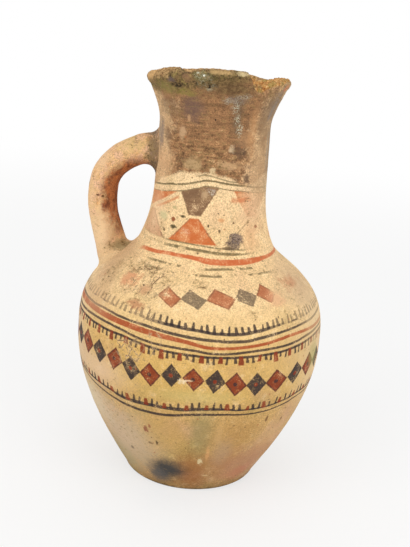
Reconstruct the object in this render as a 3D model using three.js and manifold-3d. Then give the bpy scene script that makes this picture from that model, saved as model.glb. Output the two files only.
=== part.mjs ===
// A hand-built earthenware water jug, made from the pieces of clay that its potter shaped and luted together:
// a base disc, a lower wall, a shoulder wall, a neck collar, a rim band, a rolled handle and the two clay fillets
// that hold the handle. Millimetres, +Z up. The origin is on the jug's axis, in the plane that it stands on, and
// the handle is on the -X side. The front of the jug, with its best painting, faces -Y.

import * as THREE from "three";
import { mergeVertices } from "three/addons/utils/BufferGeometryUtils.js";
import Module from "manifold-3d";

const wasm = await Module();
wasm.setup();

// Heights of the building stages, from the ground up
const baseThickness = 11;
const lowerWallHeight = 100; // base disc to the belly's widest line
const shoulderHeight = 53; // widest line to the steep shoulder
const neckRootHeight = 18; // steep shoulder to the foot of the neck
const neckHeight = 53; // foot of the neck to its straight part
const neckStraightHeight = 35; // straight part, up to where the mouth starts to flare
const flareHeight = 35; // flare, up to the crest of the lip at the jug's back

// Outside radii at the same places
const baseRadius = 50;
const bellyRadius = 92.7;
const shoulderInset = 22.2; // how far the steep shoulder has closed in from the belly
const neckRootSpread = 9.7; // how far the foot of the neck spreads beyond its straight part
const neckRadius = 40.9;
const throatRadius = 40.3; // narrowest, just under the flare
const lipRadius = 52;

// How the outside leans at the same places: millimetres of radius for each millimetre of height
const baseLean = 0.62;
const shoulderLean = -1.25;
const neckRootLean = -0.5;
const neckLean = -0.03;
const lipLean = 0.3;

// Walls and seams
const bodyWall = 8;
const neckWall = 7;
const lipThickness = 8.5;
const lapHeight = 6; // how far each course of clay laps the one below it, on the slant
const slipGap = 0.3; // liquid clay in every seam
const rimBandHeight = 16;
const collarDrop = 5; // the neck collar starts this far above the foot of the neck
const baseEdgeRound = 3;

// Handle: a roll of clay bent by hand, thicker towards both ends
const handleWidth = 25; // across the jug's radius
const handleThickness = 22.4; // along it
const handleTopDrop = 61; // lip crest down to the roll's upper joint
const handleProud = 0.3; // how far the roll's outside stands out beyond the belly
const handleFootSwell = 1.2; // how much thicker the roll is where it stands on the shoulder
const swellStart = 0.62; // share of the roll's length where it starts to thicken
const rootInNeck = 4.2; // how deep the roll's line goes into the clay at either end, to be trimmed there
const rootInShoulder = 18;
const neckFillet = { length: 15, inner: 4.2, outer: 2 }; // length on the roll's inner side, and spread at
const shoulderFillet = { length: 11, inner: 3.6, outer: 1 }; // the wall, inside and outside the bend
const filletEdge = 1.2; // thickness that the fillets are feathered to

// The lip isn't level: degrees from +X towards +Y, and how far its crest rises there above the crest at the back
const lipLevels = [
  [-180, -1.8], [-155, -0.6], [-141, 1.2], [-126, 3.3], [-100, 5], [-76, 5.8], [-52, 4.6], [-32, 3.3],
  [-12, 1.8], [10, 0.5], [34, -2], [44, -3.4], [52, -4.4], [60, -3], [72, -2], [82, 0], [110, 0], [132, -1.4],
  [180, -1.8],
];

// Where the lip is broken: degrees again, and how much is lost there outside and inside. A small notch at the
// front left, and the long break on the right.
const lostLip = [
  [
    [-117, 0, 0], [-113.5, 1.8, 1.4], [-110.5, 3.2, 2.8], [-106.5, 4.5, 4], [-103, 3.8, 3.4],
    [-99.5, 2, 1.6], [-96, 1, 0.6], [-93, 0, 0],
  ],
  [
    [-56, 0, 0], [-53.5, 5.5, 1.5], [-50, 9.2, 1.8], [-45.5, 12.9, 2.4], [-42, 11.8, 3.6], [-38, 8, 3.7],
    [-34, 6.6, 2.8], [-28, 5.2, 1.9], [-18, 4.5, 1], [-4, 3.8, 0.6], [8, 3.4, 0.4], [18, 2.4, 0.4], [26, 0, 0],
  ],
];

// Fineness of the facets
const turnSteps = 60;
const stationStep = 9;
const lipSteps = 6;
const rollSides = 20;
const rollSteps = 26;
const filletSteps = 7;

// The stations of the outside: height, radius and lean
const stations = [];
function addStation(rise, radius, lean) {
  const below = stations.length ? stations[stations.length - 1].height : 0;
  stations.push({ height: below + rise, radius, lean });
}
addStation(0, baseRadius, baseLean);
addStation(baseThickness + lowerWallHeight, bellyRadius, 0);
addStation(shoulderHeight, bellyRadius - shoulderInset, shoulderLean);
addStation(neckRootHeight, neckRadius + neckRootSpread, neckRootLean);
addStation(neckHeight, neckRadius, neckLean);
addStation(neckStraightHeight, throatRadius, 0);
addStation(flareHeight, lipRadius, lipLean);

const bellyHeight = stations[1].height;
const neckFootHeight = stations[3].height;
const throatHeight = stations[5].height;
const jugHeight = stations[6].height;

// Outside radius and lean at a height: a smooth curve through the stations
function outside(height) {
  let upper = stations.findIndex((station) => station.height >= height);
  upper = upper < 1 ? (upper === 0 ? 1 : stations.length - 1) : upper;
  const a = stations[upper - 1];
  const b = stations[upper];
  const rise = b.height - a.height;
  const t = (height - a.height) / rise;
  const t2 = t * t;
  const t3 = t2 * t;
  const radius =
    (2 * t3 - 3 * t2 + 1) * a.radius +
    (t3 - 2 * t2 + t) * rise * a.lean +
    (3 * t2 - 2 * t3) * b.radius +
    (t3 - t2) * rise * b.lean;
  const lean =
    ((6 * t2 - 6 * t) * a.radius + (6 * t - 6 * t2) * b.radius) / rise +
    (3 * t2 - 4 * t + 1) * a.lean +
    (3 * t2 - 2 * t) * b.lean;
  return { radius, lean };
}

// Wall thickness at a height: the body's, thinned into the neck's, and thickened again into the lip's
function wallAt(height) {
  const intoNeck = THREE.MathUtils.smoothstep(height, bellyHeight, neckFootHeight);
  const intoLip = THREE.MathUtils.smoothstep(height, throatHeight, jugHeight);
  return bodyWall + (neckWall - bodyWall) * intoNeck + (lipThickness - neckWall) * intoLip;
}

// A point of the section: depth 0 is the outside, 1 the inside, and a negative one stands off the outside
function sectionPoint(height, depth, standOff = 0) {
  const { radius, lean } = outside(height);
  const inward = wallAt(height) * depth - standOff;
  const slant = Math.hypot(1, lean);
  return new THREE.Vector2(radius - inward / slant, height + (inward * lean) / slant);
}

// Points of the outside or inside between two heights, evenly spaced, ends included
function sectionRun(from, to, depth) {
  const count = Math.max(1, Math.round(Math.abs(to - from) / stationStep));
  return Array.from({ length: count + 1 }, (_, i) => sectionPoint(from + ((to - from) * i) / count, depth));
}

// Turns a closed section about the jug's axis
function turned(section) {
  return new THREE.LatheGeometry([...section, section[0]], turnSteps).rotateX(Math.PI / 2);
}

// A course of clay: it starts on the slanted seam at one height and ends under the one at another
function courseSection(from, to) {
  const halfLap = lapHeight / 2;
  return [
    ...sectionRun(from + slipGap - halfLap, to - halfLap, 0),
    ...sectionRun(to + halfLap, from + slipGap + halfLap, 1),
  ];
}

// Geometry to solid and back, for the cuts
function solid(geometry) {
  const bare = geometry.clone();
  bare.deleteAttribute("normal");
  bare.deleteAttribute("uv");
  const merged = mergeVertices(bare, 1e-4);
  return new wasm.Manifold(
    new wasm.Mesh({
      numProp: 3,
      vertProperties: new Float32Array(merged.attributes.position.array),
      triVerts: new Uint32Array(merged.index.array),
    }),
  );
}

function geometryOf(manifold) {
  const mesh = manifold.getMesh();
  const geometry = new THREE.BufferGeometry();
  geometry.setAttribute("position", new THREE.BufferAttribute(new Float32Array(mesh.vertProperties), 3));
  geometry.setIndex(new THREE.BufferAttribute(new Uint32Array(mesh.triVerts), 1));
  const flat = geometry.toNonIndexed();
  flat.computeVertexNormals();
  return flat;
}

// Closed skin over rings of points, each ring with as many points as the others, ends capped
function skinned(rings) {
  const sides = rings[0].length;
  const middle = (ring) => ring.reduce((sum, p) => sum.add(p), new THREE.Vector3()).divideScalar(sides);
  const points = [...rings.flat(), middle(rings[0]), middle(rings[rings.length - 1])];
  const startCap = points.length - 2;
  const endCap = points.length - 1;
  const lastRing = (rings.length - 1) * sides;
  const faces = [];
  for (let side = 0; side < sides; side += 1) {
    const next = (side + 1) % sides;
    for (let ring = 0; ring < rings.length - 1; ring += 1) {
      const row = ring * sides;
      const above = row + sides;
      faces.push(row + side, above + next, row + next, row + side, above + side, above + next);
    }
    faces.push(startCap, side, next, endCap, lastRing + next, lastRing + side);
  }
  const geometry = new THREE.BufferGeometry().setFromPoints(points);
  geometry.setIndex(faces);
  return geometry;
}

// Base disc: flat above and below, with its lower edge worn round
function baseDisc() {
  const steps = 4;
  const lowerEdge = Array.from({ length: steps + 1 }, (_, i) => {
    const turn = (Math.PI / 2) * (i / steps);
    const edge = outside(baseEdgeRound).radius;
    return new THREE.Vector2(
      edge - baseEdgeRound + baseEdgeRound * Math.sin(turn),
      baseEdgeRound - baseEdgeRound * Math.cos(turn),
    );
  });
  const top = outside(baseThickness).radius;
  return turned([
    new THREE.Vector2(0, 0),
    ...lowerEdge,
    new THREE.Vector2(top, baseThickness),
    new THREE.Vector2(0, baseThickness),
  ]);
}

// Lower wall: stands flat on the base disc and ends on the belly's slanted seam
function lowerWall() {
  const start = baseThickness + slipGap;
  const halfLap = lapHeight / 2;
  const inner = sectionRun(bellyHeight + halfLap, start, 1).filter((p) => p.y > start + 1);
  const { radius, lean } = outside(start);
  return turned([
    ...sectionRun(start, bellyHeight - halfLap, 0),
    ...inner,
    new THREE.Vector2(radius - bodyWall * Math.hypot(1, lean), start),
  ]);
}

const collarHeight = neckFootHeight + collarDrop;
const rimSeamHeight = jugHeight - rimBandHeight;

function shoulderWall() {
  return turned(courseSection(bellyHeight, collarHeight));
}

function neckCollar() {
  return turned(courseSection(collarHeight, rimSeamHeight));
}

// How far the lip rises at a place round the jug
function lipRise(degrees) {
  const upper = Math.max(1, lipLevels.findIndex(([at]) => at >= degrees));
  const [from, low] = lipLevels[upper - 1];
  const [to, high] = lipLevels[upper];
  return low + ((high - low) * (degrees - from)) / (to - from);
}

// Brings the level lip to its uneven height, stretching the flare under it
function liftLip(geometry, from) {
  const places = geometry.attributes.position;
  for (let i = 0; i < places.count; i += 1) {
    const degrees = THREE.MathUtils.radToDeg(Math.atan2(places.getY(i), places.getX(i)));
    const share = THREE.MathUtils.smoothstep(places.getZ(i), from, jugHeight);
    places.setZ(i, places.getZ(i) + lipRise(degrees) * share);
  }
  return geometry;
}

// What is missing from the lip at one place: a band over the rim whose underside is the broken edge
function lipLoss(lost) {
  const margin = lipThickness / 2;
  const innerRadius = lipRadius - lipThickness;
  const rings = lost.map(([degrees, outer, inner]) => {
    const turn = THREE.MathUtils.degToRad(degrees);
    const crest = jugHeight + lipRise(degrees);
    const corner = (radius, height) =>
      new THREE.Vector3(radius * Math.cos(turn), radius * Math.sin(turn), height);
    return [
      corner(lipRadius, crest - outer),
      corner(lipRadius + margin, crest - outer),
      corner(lipRadius + margin, crest + margin),
      corner(innerRadius - margin, crest + margin),
      corner(innerRadius - margin, crest - inner),
      corner(innerRadius, crest - inner),
    ];
  });
  return skinned(rings);
}

// Rim band: an everted lip with a round crest, higher at the front and broken on the pouring side
function rimBand() {
  const halfLap = lapHeight / 2;
  const round = lipThickness / 2;
  const crest = sectionPoint(jugHeight - round, 0.5);
  const { lean } = outside(jugHeight - round);
  const tilt = Math.atan(lean);
  const arc = Array.from({ length: lipSteps + 1 }, (_, i) => {
    const turn = (Math.PI * i) / lipSteps - tilt;
    return new THREE.Vector2(crest.x + round * Math.cos(turn), crest.y + round * Math.sin(turn));
  });
  const lift = jugHeight - Math.max(...arc.map((p) => p.y)); // brings the crest to the jug's height
  arc.forEach((p) => (p.y += lift));
  const below = jugHeight - round - 1;
  const ring = turned([
    ...sectionRun(rimSeamHeight + slipGap - halfLap, below, 0),
    ...arc,
    ...sectionRun(below, rimSeamHeight + slipGap + halfLap, 1),
  ]);
  const seamTop = sectionPoint(rimSeamHeight + slipGap + halfLap, 1).y;
  const uneven = solid(liftLip(ring, seamTop));
  return geometryOf(lostLip.reduce((left, lost) => left.subtract(solid(lipLoss(lost))), uneven));
}

// The handle's centre line, from inside the neck wall, out, down and onto the shoulder
const handleTopHeight = jugHeight - handleTopDrop;
const handleFootHeight = stations[2].height;
const neckFace = outside(handleTopHeight).radius;
const handleOut = bellyRadius + handleProud - handleThickness / 2;
const footFace = outside(handleFootHeight).radius;
const handleDrop = handleTopHeight - handleFootHeight;

const offNeck = (share) => neckFace + (handleOut - neckFace) * share;
const offFoot = (share) => footFace + handleThickness * share;
const centreLine = new THREE.CatmullRomCurve3(
  [
    [neckFace - rootInNeck, 0],
    [offNeck(0.27), 0.015],
    [offNeck(0.56), -0.045],
    [offNeck(0.82), -0.155],
    [offNeck(0.966), -0.285],
    [handleOut, -0.44],
    [offNeck(0.976), -0.6],
    [offNeck(0.893), -0.77],
    [offFoot(0.125), -0.93],
    [offFoot(-0.05), -1.07],
    [offFoot(-0.3), -1 - rootInShoulder / handleDrop],
  ].map(([radius, drop]) => new THREE.Vector3(-radius, 0, handleTopHeight + drop * handleDrop)),
  false,
  "centripetal",
);
const rollLength = centreLine.getLength();

const across = new THREE.Vector3(0, 1, 0);
const outwardAt = (t) => new THREE.Vector3().crossVectors(across, centreLine.getTangentAt(t)).normalize();

// Where the roll leaves the clay, between a place inside the wall and one in the open: on its centre line, or
// that far towards the inside of the bend
function leavesWall(inside, open, inwards) {
  let near = inside;
  let far = open;
  for (let halving = 0; halving < 20; halving += 1) {
    const middle = (near + far) / 2;
    const { x, z } = centreLine.getPointAt(middle).addScaledVector(outwardAt(middle), -inwards);
    if (-x < outside(z).radius) near = middle;
    else far = middle;
  }
  return near;
}

// One ring of the roll: t runs from 0 at the neck to 1 in the shoulder. It can be grown all round, and further
// on the inside of the bend.
function rollRing(t, grown, innerGrown) {
  const centre = centreLine.getPointAt(t);
  const outward = outwardAt(t);
  const swell = 1 + (handleFootSwell - 1) * THREE.MathUtils.smoothstep(t, swellStart, 1);
  return Array.from({ length: rollSides }, (_, side) => {
    const turn = (2 * Math.PI * side) / rollSides;
    const extra = grown + (innerGrown * (1 - Math.sin(turn))) / 2;
    return centre
      .clone()
      .addScaledVector(across, Math.cos(turn) * ((handleWidth / 2) * swell + extra))
      .addScaledVector(outward, Math.sin(turn) * ((handleThickness / 2) * swell + extra));
  });
}

function handleSolid(grown) {
  const rings = Array.from({ length: rollSteps + 1 }, (_, i) => rollRing(i / rollSteps, grown, 0));
  return solid(skinned(rings));
}

// The jug's outside as a plain solid, standing off by the slip, to cut what rests on it
function bodyFilled() {
  const top = jugHeight - lipThickness;
  const count = Math.round(top / (stationStep / 2));
  const skin = Array.from({ length: count + 1 }, (_, i) => sectionPoint((top * i) / count, 0, slipGap));
  return solid(turned([new THREE.Vector2(0, 0), ...skin, new THREE.Vector2(0, top)]));
}

const body = bodyFilled();

function handleRoll() {
  return geometryOf(handleSolid(0).subtract(body));
}

// A clay fillet round one end of the roll: feathered on the roll, and spreading as it nears the wall
function fillet(end, size) {
  const wall = leavesWall(end, 0.5, 0);
  const innerWall = leavesWall(end, 0.5, handleThickness / 2);
  const feather = innerWall + (end === 0 ? size.length : -size.length) / rollLength;
  const from = Math.min(end, feather);
  const to = Math.max(end, feather);
  const rings = Array.from({ length: filletSteps + 1 }, (_, i) => {
    const t = from + ((to - from) * i) / filletSteps;
    const spread = THREE.MathUtils.clamp((t - feather) / (wall - feather), 0, 1) ** 2;
    return rollRing(t, slipGap + filletEdge + size.outer * spread, (size.inner - size.outer) * spread);
  });
  return geometryOf(solid(skinned(rings)).subtract(handleSolid(slipGap)).subtract(body));
}

// Fired clay, from the sooty rim down to the pale slip of the belly
const clay = {
  base: new THREE.MeshStandardMaterial({ color: 0x9a7245, roughness: 0.9, metalness: 0 }),
  lower: new THREE.MeshStandardMaterial({ color: 0xc49a5c, roughness: 0.75, metalness: 0 }),
  slip: new THREE.MeshStandardMaterial({ color: 0xdcc08c, roughness: 0.75, metalness: 0 }),
  soot: new THREE.MeshStandardMaterial({ color: 0x80583c, roughness: 0.85, metalness: 0 }),
  moss: new THREE.MeshStandardMaterial({ color: 0x7c6a3c, roughness: 0.95, metalness: 0 }),
  handle: new THREE.MeshStandardMaterial({ color: 0xcf9868, roughness: 0.8, metalness: 0 }),
};

const jug = new THREE.Group();

function addPiece(name, geometry, material) {
  const mesh = new THREE.Mesh(geometry, material);
  mesh.name = name;
  jug.add(mesh);
}

addPiece("base_disc", baseDisc(), clay.base);
addPiece("lower_wall", lowerWall(), clay.lower);
addPiece("shoulder_wall", shoulderWall(), clay.slip);
addPiece("neck_collar", neckCollar(), clay.soot);
addPiece("rim_band", rimBand(), clay.moss);
addPiece("handle_roll", handleRoll(), clay.handle);
addPiece("handle_neck_fillet", fillet(0, neckFillet), clay.handle);
addPiece("handle_shoulder_fillet", fillet(1, shoulderFillet), clay.handle);

export default jug;
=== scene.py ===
# A hand-built, hand-painted earthenware water jug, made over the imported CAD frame. Its meshes are worked
# out in millimetres and scaled to metres last. The handle is on -X and the painted front faces -Y.
import math

import bmesh
import bpy
from mathutils import Matrix, Vector, noise


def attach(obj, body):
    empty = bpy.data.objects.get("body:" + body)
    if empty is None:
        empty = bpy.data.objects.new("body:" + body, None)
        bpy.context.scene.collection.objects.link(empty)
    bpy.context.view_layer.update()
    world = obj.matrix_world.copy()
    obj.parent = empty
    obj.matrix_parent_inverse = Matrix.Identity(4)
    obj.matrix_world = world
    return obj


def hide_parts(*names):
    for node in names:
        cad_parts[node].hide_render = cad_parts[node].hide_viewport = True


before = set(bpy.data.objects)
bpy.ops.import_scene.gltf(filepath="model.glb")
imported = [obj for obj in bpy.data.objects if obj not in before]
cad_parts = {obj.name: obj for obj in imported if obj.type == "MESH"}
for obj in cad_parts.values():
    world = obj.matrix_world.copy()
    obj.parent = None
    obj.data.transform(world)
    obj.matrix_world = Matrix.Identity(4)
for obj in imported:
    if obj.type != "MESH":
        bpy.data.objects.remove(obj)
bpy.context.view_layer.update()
metres = 0.001  # from millimetres
print("frame loaded:", sorted(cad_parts))

# Camera: where the photograph was taken from, worked back from the ellipses of the base, bands and mouth
photoView = {
    "azimuth": 10,       # degrees round from -Y
    "distance": 643,     # from the jug's axis
    "height": 350,
    "lookDown": 16.8,
    "roll": 4.5,         # the jug leans to the right in the picture
    "yaw": 0.1,
    "lens": 58.18,
    "sensorWidth": 36,
    "nearestSeen": 0.01,  # metres
}


def addCamera(view):
    data = bpy.data.cameras.new("photoCamera")
    data.lens = view["lens"]
    data.sensor_width = view["sensorWidth"]
    data.clip_start = view["nearestSeen"]
    camera = bpy.data.objects.new("photoCamera", data)
    bpy.context.scene.collection.objects.link(camera)
    turned = Matrix.Rotation(math.radians(view["azimuth"]), 4, "Z")
    place = Matrix.Translation(Vector((0, -view["distance"], view["height"])) * metres)
    aim = (Matrix.Rotation(-math.radians(view["yaw"]), 4, "Z")
           @ Matrix.Rotation(math.radians(90 - view["lookDown"]), 4, "X")
           @ Matrix.Rotation(math.radians(view["roll"]), 4, "Z"))
    camera.matrix_world = turned @ place @ aim
    bpy.context.scene.camera = camera


addCamera(photoView)

# The jug's outside, as the potter left it
jug = {
    "height": 305,
    # height, outside radius, and lean in radius per height
    "stations": [(0, 50, 0.62), (111, 92.7, 0), (164, 70.5, -1.25), (182, 50.6, -0.5), (235, 40.9, -0.03),
                 (270, 40.3, 0), (305, 52, 0.3)],
    "widest": 92.6,
    "bodyWall": 8,
    "neckWall": 7,
    "lipWall": 8.5,
    "lap": 6,            # slant of the seams between the courses of clay
    "aroundSteps": 360,
}


def smooth(value, low, high):  # 0 at low and 1 at high, eased; low may be the larger
    share = min(1, max(0, (value - low) / (high - low)))
    return share * share * (3 - 2 * share)


def outside(height):
    stations = jug["stations"]
    upper = next((i for i, station in enumerate(stations) if i and station[0] >= height), len(stations) - 1)
    (z0, r0, lean0), (z1, r1, lean1) = stations[upper - 1], stations[upper]
    rise = z1 - z0
    t = (height - z0) / rise
    radius = ((2 * t ** 3 - 3 * t ** 2 + 1) * r0 + (t ** 3 - 2 * t ** 2 + t) * rise * lean0
              + (3 * t ** 2 - 2 * t ** 3) * r1 + (t ** 3 - t ** 2) * rise * lean1)
    lean = ((6 * t ** 2 - 6 * t) * (r0 - r1) / rise + (3 * t ** 2 - 4 * t + 1) * lean0
            + (3 * t ** 2 - 2 * t) * lean1)
    return radius, lean


def wallAt(height):
    intoNeck = smooth(height, jug["stations"][1][0], jug["stations"][3][0])
    intoLip = smooth(height, jug["stations"][5][0], jug["height"])
    return (jug["bodyWall"] + (jug["neckWall"] - jug["bodyWall"]) * intoNeck
            + (jug["lipWall"] - jug["neckWall"]) * intoLip)


def sectionPoint(height, depth):  # depth 0 is the outside, 1 the inside
    radius, lean = outside(height)
    inward = wallAt(height) * depth / math.hypot(1, lean)
    return radius - inward, height + inward * lean


def sectionRun(low, high, depth, spacing):
    count = max(1, round(abs(high - low) / spacing))
    return [sectionPoint(low + (high - low) * i / count, depth) for i in range(count + 1)]


handMarks = {
    "hollows": (0.32, 34),   # depth and breadth of the unevenness left by hand building
    "fingers": (0.14, 11),
    "wiping": (0.07, 1.5, 70),  # the fine level lines of the wet cloth, and how far one runs
    "footFade": 6,           # none of it in the face that the jug stands on
}


def handDepth(point):  # how far the wall stands out or in at a point, by hand
    hollows, fingers, wiping = handMarks["hollows"], handMarks["fingers"], handMarks["wiping"]
    depth = hollows[0] * noise.noise(point / hollows[1])
    depth += fingers[0] * noise.noise(point / fingers[1] + Vector((7, 3, 1)))
    lines = Vector((point.x / wiping[2], point.y / wiping[2], point.z / wiping[1]))
    depth += wiping[0] * noise.noise(lines)
    return depth * smooth(point.z, 0, handMarks["footFade"])


def workByHand(bm):
    for vert in bm.verts:
        out = Vector((vert.co.x, vert.co.y, 0))
        if out.length < 1e-6:
            continue
        radius = min(out.length + handDepth(vert.co), jug["widest"])
        vert.co.xy = out.normalized().xy * radius


skin = {
    "weld": 0.004,       # how close points have to be to be made one
    "sliver": 0.002,
    "gridWeld": 0.0005,
    "sharpAngle": 38,    # from this bend between two faces their edge is a sharp one
    "roughSharpAngle": 60,
}


def finish(bm, name, nodes, material, sharpAngle=skin["sharpAngle"]):
    bmesh.ops.remove_doubles(bm, verts=bm.verts, dist=skin["weld"])
    bmesh.ops.dissolve_degenerate(bm, edges=bm.edges, dist=skin["sliver"])
    bmesh.ops.recalc_face_normals(bm, faces=bm.faces)
    for face in bm.faces:
        face.smooth = True
    for edge in bm.edges:
        edge.smooth = len(edge.link_faces) == 2 and math.degrees(edge.calc_face_angle(0)) < sharpAngle
    bmesh.ops.scale(bm, vec=(metres,) * 3, verts=bm.verts)
    mesh = bpy.data.meshes.new(name)
    bm.to_mesh(mesh)
    bm.free()
    piece = bpy.data.objects.new(name, mesh)
    bpy.context.scene.collection.objects.link(piece)
    mesh.materials.append(material)
    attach(piece, "root")
    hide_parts(*nodes)
    print(name, "has", len(mesh.polygons), "faces")


def sheetOfSkin(rows, steps, layerName, place):
    # a grid laid over a shape: place gives a point, and its value in the layer, for the grid's two shares
    bm = bmesh.new()
    bmesh.ops.create_grid(bm, x_segments=rows, y_segments=steps, size=0.5)
    layer = bm.verts.layers.float.new(layerName)
    for vert in bm.verts:
        vert.co, vert[layer] = place(vert.co.x + 0.5, vert.co.y + 0.5)
    bmesh.ops.remove_doubles(bm, verts=bm.verts, dist=skin["gridWeld"])
    return bm, layer


def spunSection(section, closed=True):
    bm = bmesh.new()
    corners = [bm.verts.new((radius, 0, height)) for radius, height in section]
    following = corners[1:] + corners[:1] if closed else corners[1:]
    edges = [bm.edges.new(pair) for pair in zip(corners, following)]
    bmesh.ops.spin(bm, geom=corners + edges, cent=(0, 0, 0), axis=(0, 0, 1), dvec=(0, 0, 0),
                   angle=2 * math.pi, steps=jug["aroundSteps"], use_merge=True)
    return bm


print("camera and profile ready")

# Node calls in short


class Value:  # a node's output; what is done with it adds more nodes
    def __init__(self, sheet, socket):
        self.sheet = sheet
        self.socket = socket

    def __add__(self, other):
        return self.sheet.math("ADD", self, other)

    def __radd__(self, other):
        return self.sheet.math("ADD", other, self)

    def __sub__(self, other):
        return self.sheet.math("SUBTRACT", self, other)

    def __rsub__(self, other):
        return self.sheet.math("SUBTRACT", other, self)

    def __mul__(self, other):
        return self.sheet.math("MULTIPLY", self, other)

    def __truediv__(self, other):
        return self.sheet.math("DIVIDE", self, other)

    def __abs__(self):
        return self.sheet.math("ABSOLUTE", self)

    def step(self, low, high, most=1):  # 0 at low and most at high, eased; low may be the larger
        inputs = {"Value": self, "From Min": low, "From Max": high, "To Max": most}
        return self.sheet.add("MapRange", inputs, interpolation_type="SMOOTHSTEP")

    def span(self, low, high, toLow, toHigh):
        return self.sheet.add("MapRange", {0: self, 1: low, 2: high, 3: toLow, 4: toHigh})

    def between(self, atNone, atFull):  # for a value from 0 to 1
        return self.span(0, 1, atNone, atFull)

    def noise(self, breadth, detail=2, roughness=0.5):
        inputs = {"Vector": self, "Scale": 1 / breadth, "Detail": detail, "Roughness": roughness}
        return self.sheet.add("TexNoise", inputs)

    def shifted(self, *move):
        return self.sheet.add("VectorMath", {0: self, 1: move}, operation="ADD")

    def stretched(self, *factors):
        return self.sheet.add("VectorMath", {0: self, 1: factors}, operation="MULTIPLY")


class NodeSheet:  # the nodes of a material or world
    def __init__(self, owner):
        owner.use_nodes = True
        self.tree = owner.node_tree
        self.tree.nodes.clear()

    def node(self, kind, inputs=None, **settings):
        node = self.tree.nodes.new("ShaderNode" + kind)
        for name, value in settings.items():
            setattr(node, name, value)
        for name, value in (inputs or {}).items():
            source = value.socket if isinstance(value, Value) else value
            if isinstance(source, bpy.types.NodeSocket):
                self.tree.links.new(source, node.inputs[name])
            else:
                node.inputs[name].default_value = source
        return node

    def add(self, kind, inputs=None, output=0, **settings):
        return Value(self, self.node(kind, inputs, **settings).outputs[output])

    def parts(self, kind, whole):
        return [Value(self, socket) for socket in self.node("Separate" + kind, {0: whole}).outputs]

    def math(self, operation, *values):
        return self.add("Math", dict(enumerate(values)), operation=operation)

    def blend(self, factor, under, over, mode="MIX"):
        inputs = {0: factor, 6: nodeTone(under), 7: nodeTone(over)}
        return self.add("Mix", inputs, 2, data_type="RGBA", blend_type=mode)

    def grey(self, value):
        return self.add("CombineColor", {0: value, 1: value, 2: value})


def nodeTone(tone):  # a named tone or a screen colour, 0 to 255, as the linear one that nodes take
    if isinstance(tone, Value):
        return tone
    channels = [value / 255 for value in (tones[tone] if isinstance(tone, str) else tone)]
    return (*[c / 12.92 if c <= 0.04045 else ((c + 0.055) / 1.055) ** 2.4 for c in channels], 1)


class Clay(NodeSheet):  # where on the jug a point is, the noises that layers share, and the colour so far
    def __init__(self, name):
        self.material = bpy.data.materials.new(name)
        super().__init__(self.material)
        places = self.node("TexCoord").outputs
        self.point = Value(self, places["Object"]).stretched(1 / metres, 1 / metres, 1 / metres)
        x, y, self.height = self.parts("XYZ", self.point)
        self.around = self.math("DEGREES", self.math("ARCTAN2", x, y * -1))  # 0 faces -Y, 90 faces +X
        self.out = self.math("SQRT", x * x + y * y)
        facing = {0: places["Normal"], 1: self.point.stretched(1, 1, 0)}
        self.facingOut = self.add("VectorMath", facing, "Value", operation="DOT_PRODUCT") / self.out
        self.cloud = self.point.noise(42, 3)
        self.mottle = self.point.shifted(31, 17, 5).noise(7.5, 4, 0.6)
        self.grain = self.point.noise(1.3, 3, 0.6)
        self.fleck = self.point.shifted(5, 41, 9).noise(0.8, 2, 0.6)
        self.rough = self.mottle + self.grain * 0.5 - 0.75
        self.flat = self.add("CombineXYZ", {0: self.around, 1: self.height})

    def swayed(self, points, bend="AUTO_CLAMPED"):  # a brush's way round the jug: (degrees, millimetres)
        low = min(value for _, value in points)
        high = max(value for _, value in points)
        node = self.node("FloatCurve", {"Value": self.around.span(-180, 180, 0, 1)})
        curve = node.mapping.curves[0]
        places = [((degrees + 180) / 360, (value - low) / (high - low)) for degrees, value in points]
        while len(curve.points) < len(places):
            curve.points.new(0.5, 0.5)
        for point, place in zip(curve.points, places):
            point.location = place
            point.handle_type = bend
        node.mapping.update()
        return Value(self, node.outputs[0]).between(low, high)

    def cover(self, mask, tone, mode="MIX"):
        self.colour = self.blend(mask, self.colour, tone, mode)

    def paint(self, mask, name, thickness=0.95):
        # thick and thin places of the paint, and the flecks where it has come off
        thin = (self.mottle + self.grain * 0.5).step(0.66, 1)
        kept = (self.fleck + self.mottle * 0.6).span(0.92, 1.04, 1, 0.25)
        self.cover(mask * kept * thickness, self.blend(thin, *paints[name]))

    def nearTo(self, at, size, most, soft=0.9, ragged=0):  # most in the middle of a place, fading outwards
        (side, height), (wide, tall) = at, size
        shape = {0: self.flat, 1: (1 / wide, 1 / tall, 1), 2: (-side / wide, -height / tall, 0)}
        off = self.add("VectorMath", shape, operation="MULTIPLY_ADD")
        away = self.add("VectorMath", {0: off}, "Value", operation="LENGTH")
        if ragged:
            away = self.math("MULTIPLY_ADD", self.rough, ragged, away)
        return away.step(1 + soft, 1 - soft, most)

    def thickest(self, least, places, *soft):
        thick = least
        for place in places:
            thick = self.math("MAXIMUM", thick, self.nearTo(*place, *soft))
        return thick

    def cellEdge(self, bend, scale):  # how far off the edge of its cell a point is, in bent cells
        shape = {0: self.rough, 1: (bend, bend, bend), 2: self.point}
        cells = {"Vector": self.add("VectorMath", shape, operation="MULTIPLY_ADD"), "Scale": scale}
        return self.add("TexVoronoi", cells, "Distance", feature="DISTANCE_TO_EDGE")

    def shared(self, name):  # a value that the mesh carries at its points
        return self.add("Attribute", None, "Fac", attribute_name=name, attribute_type="GEOMETRY")


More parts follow.
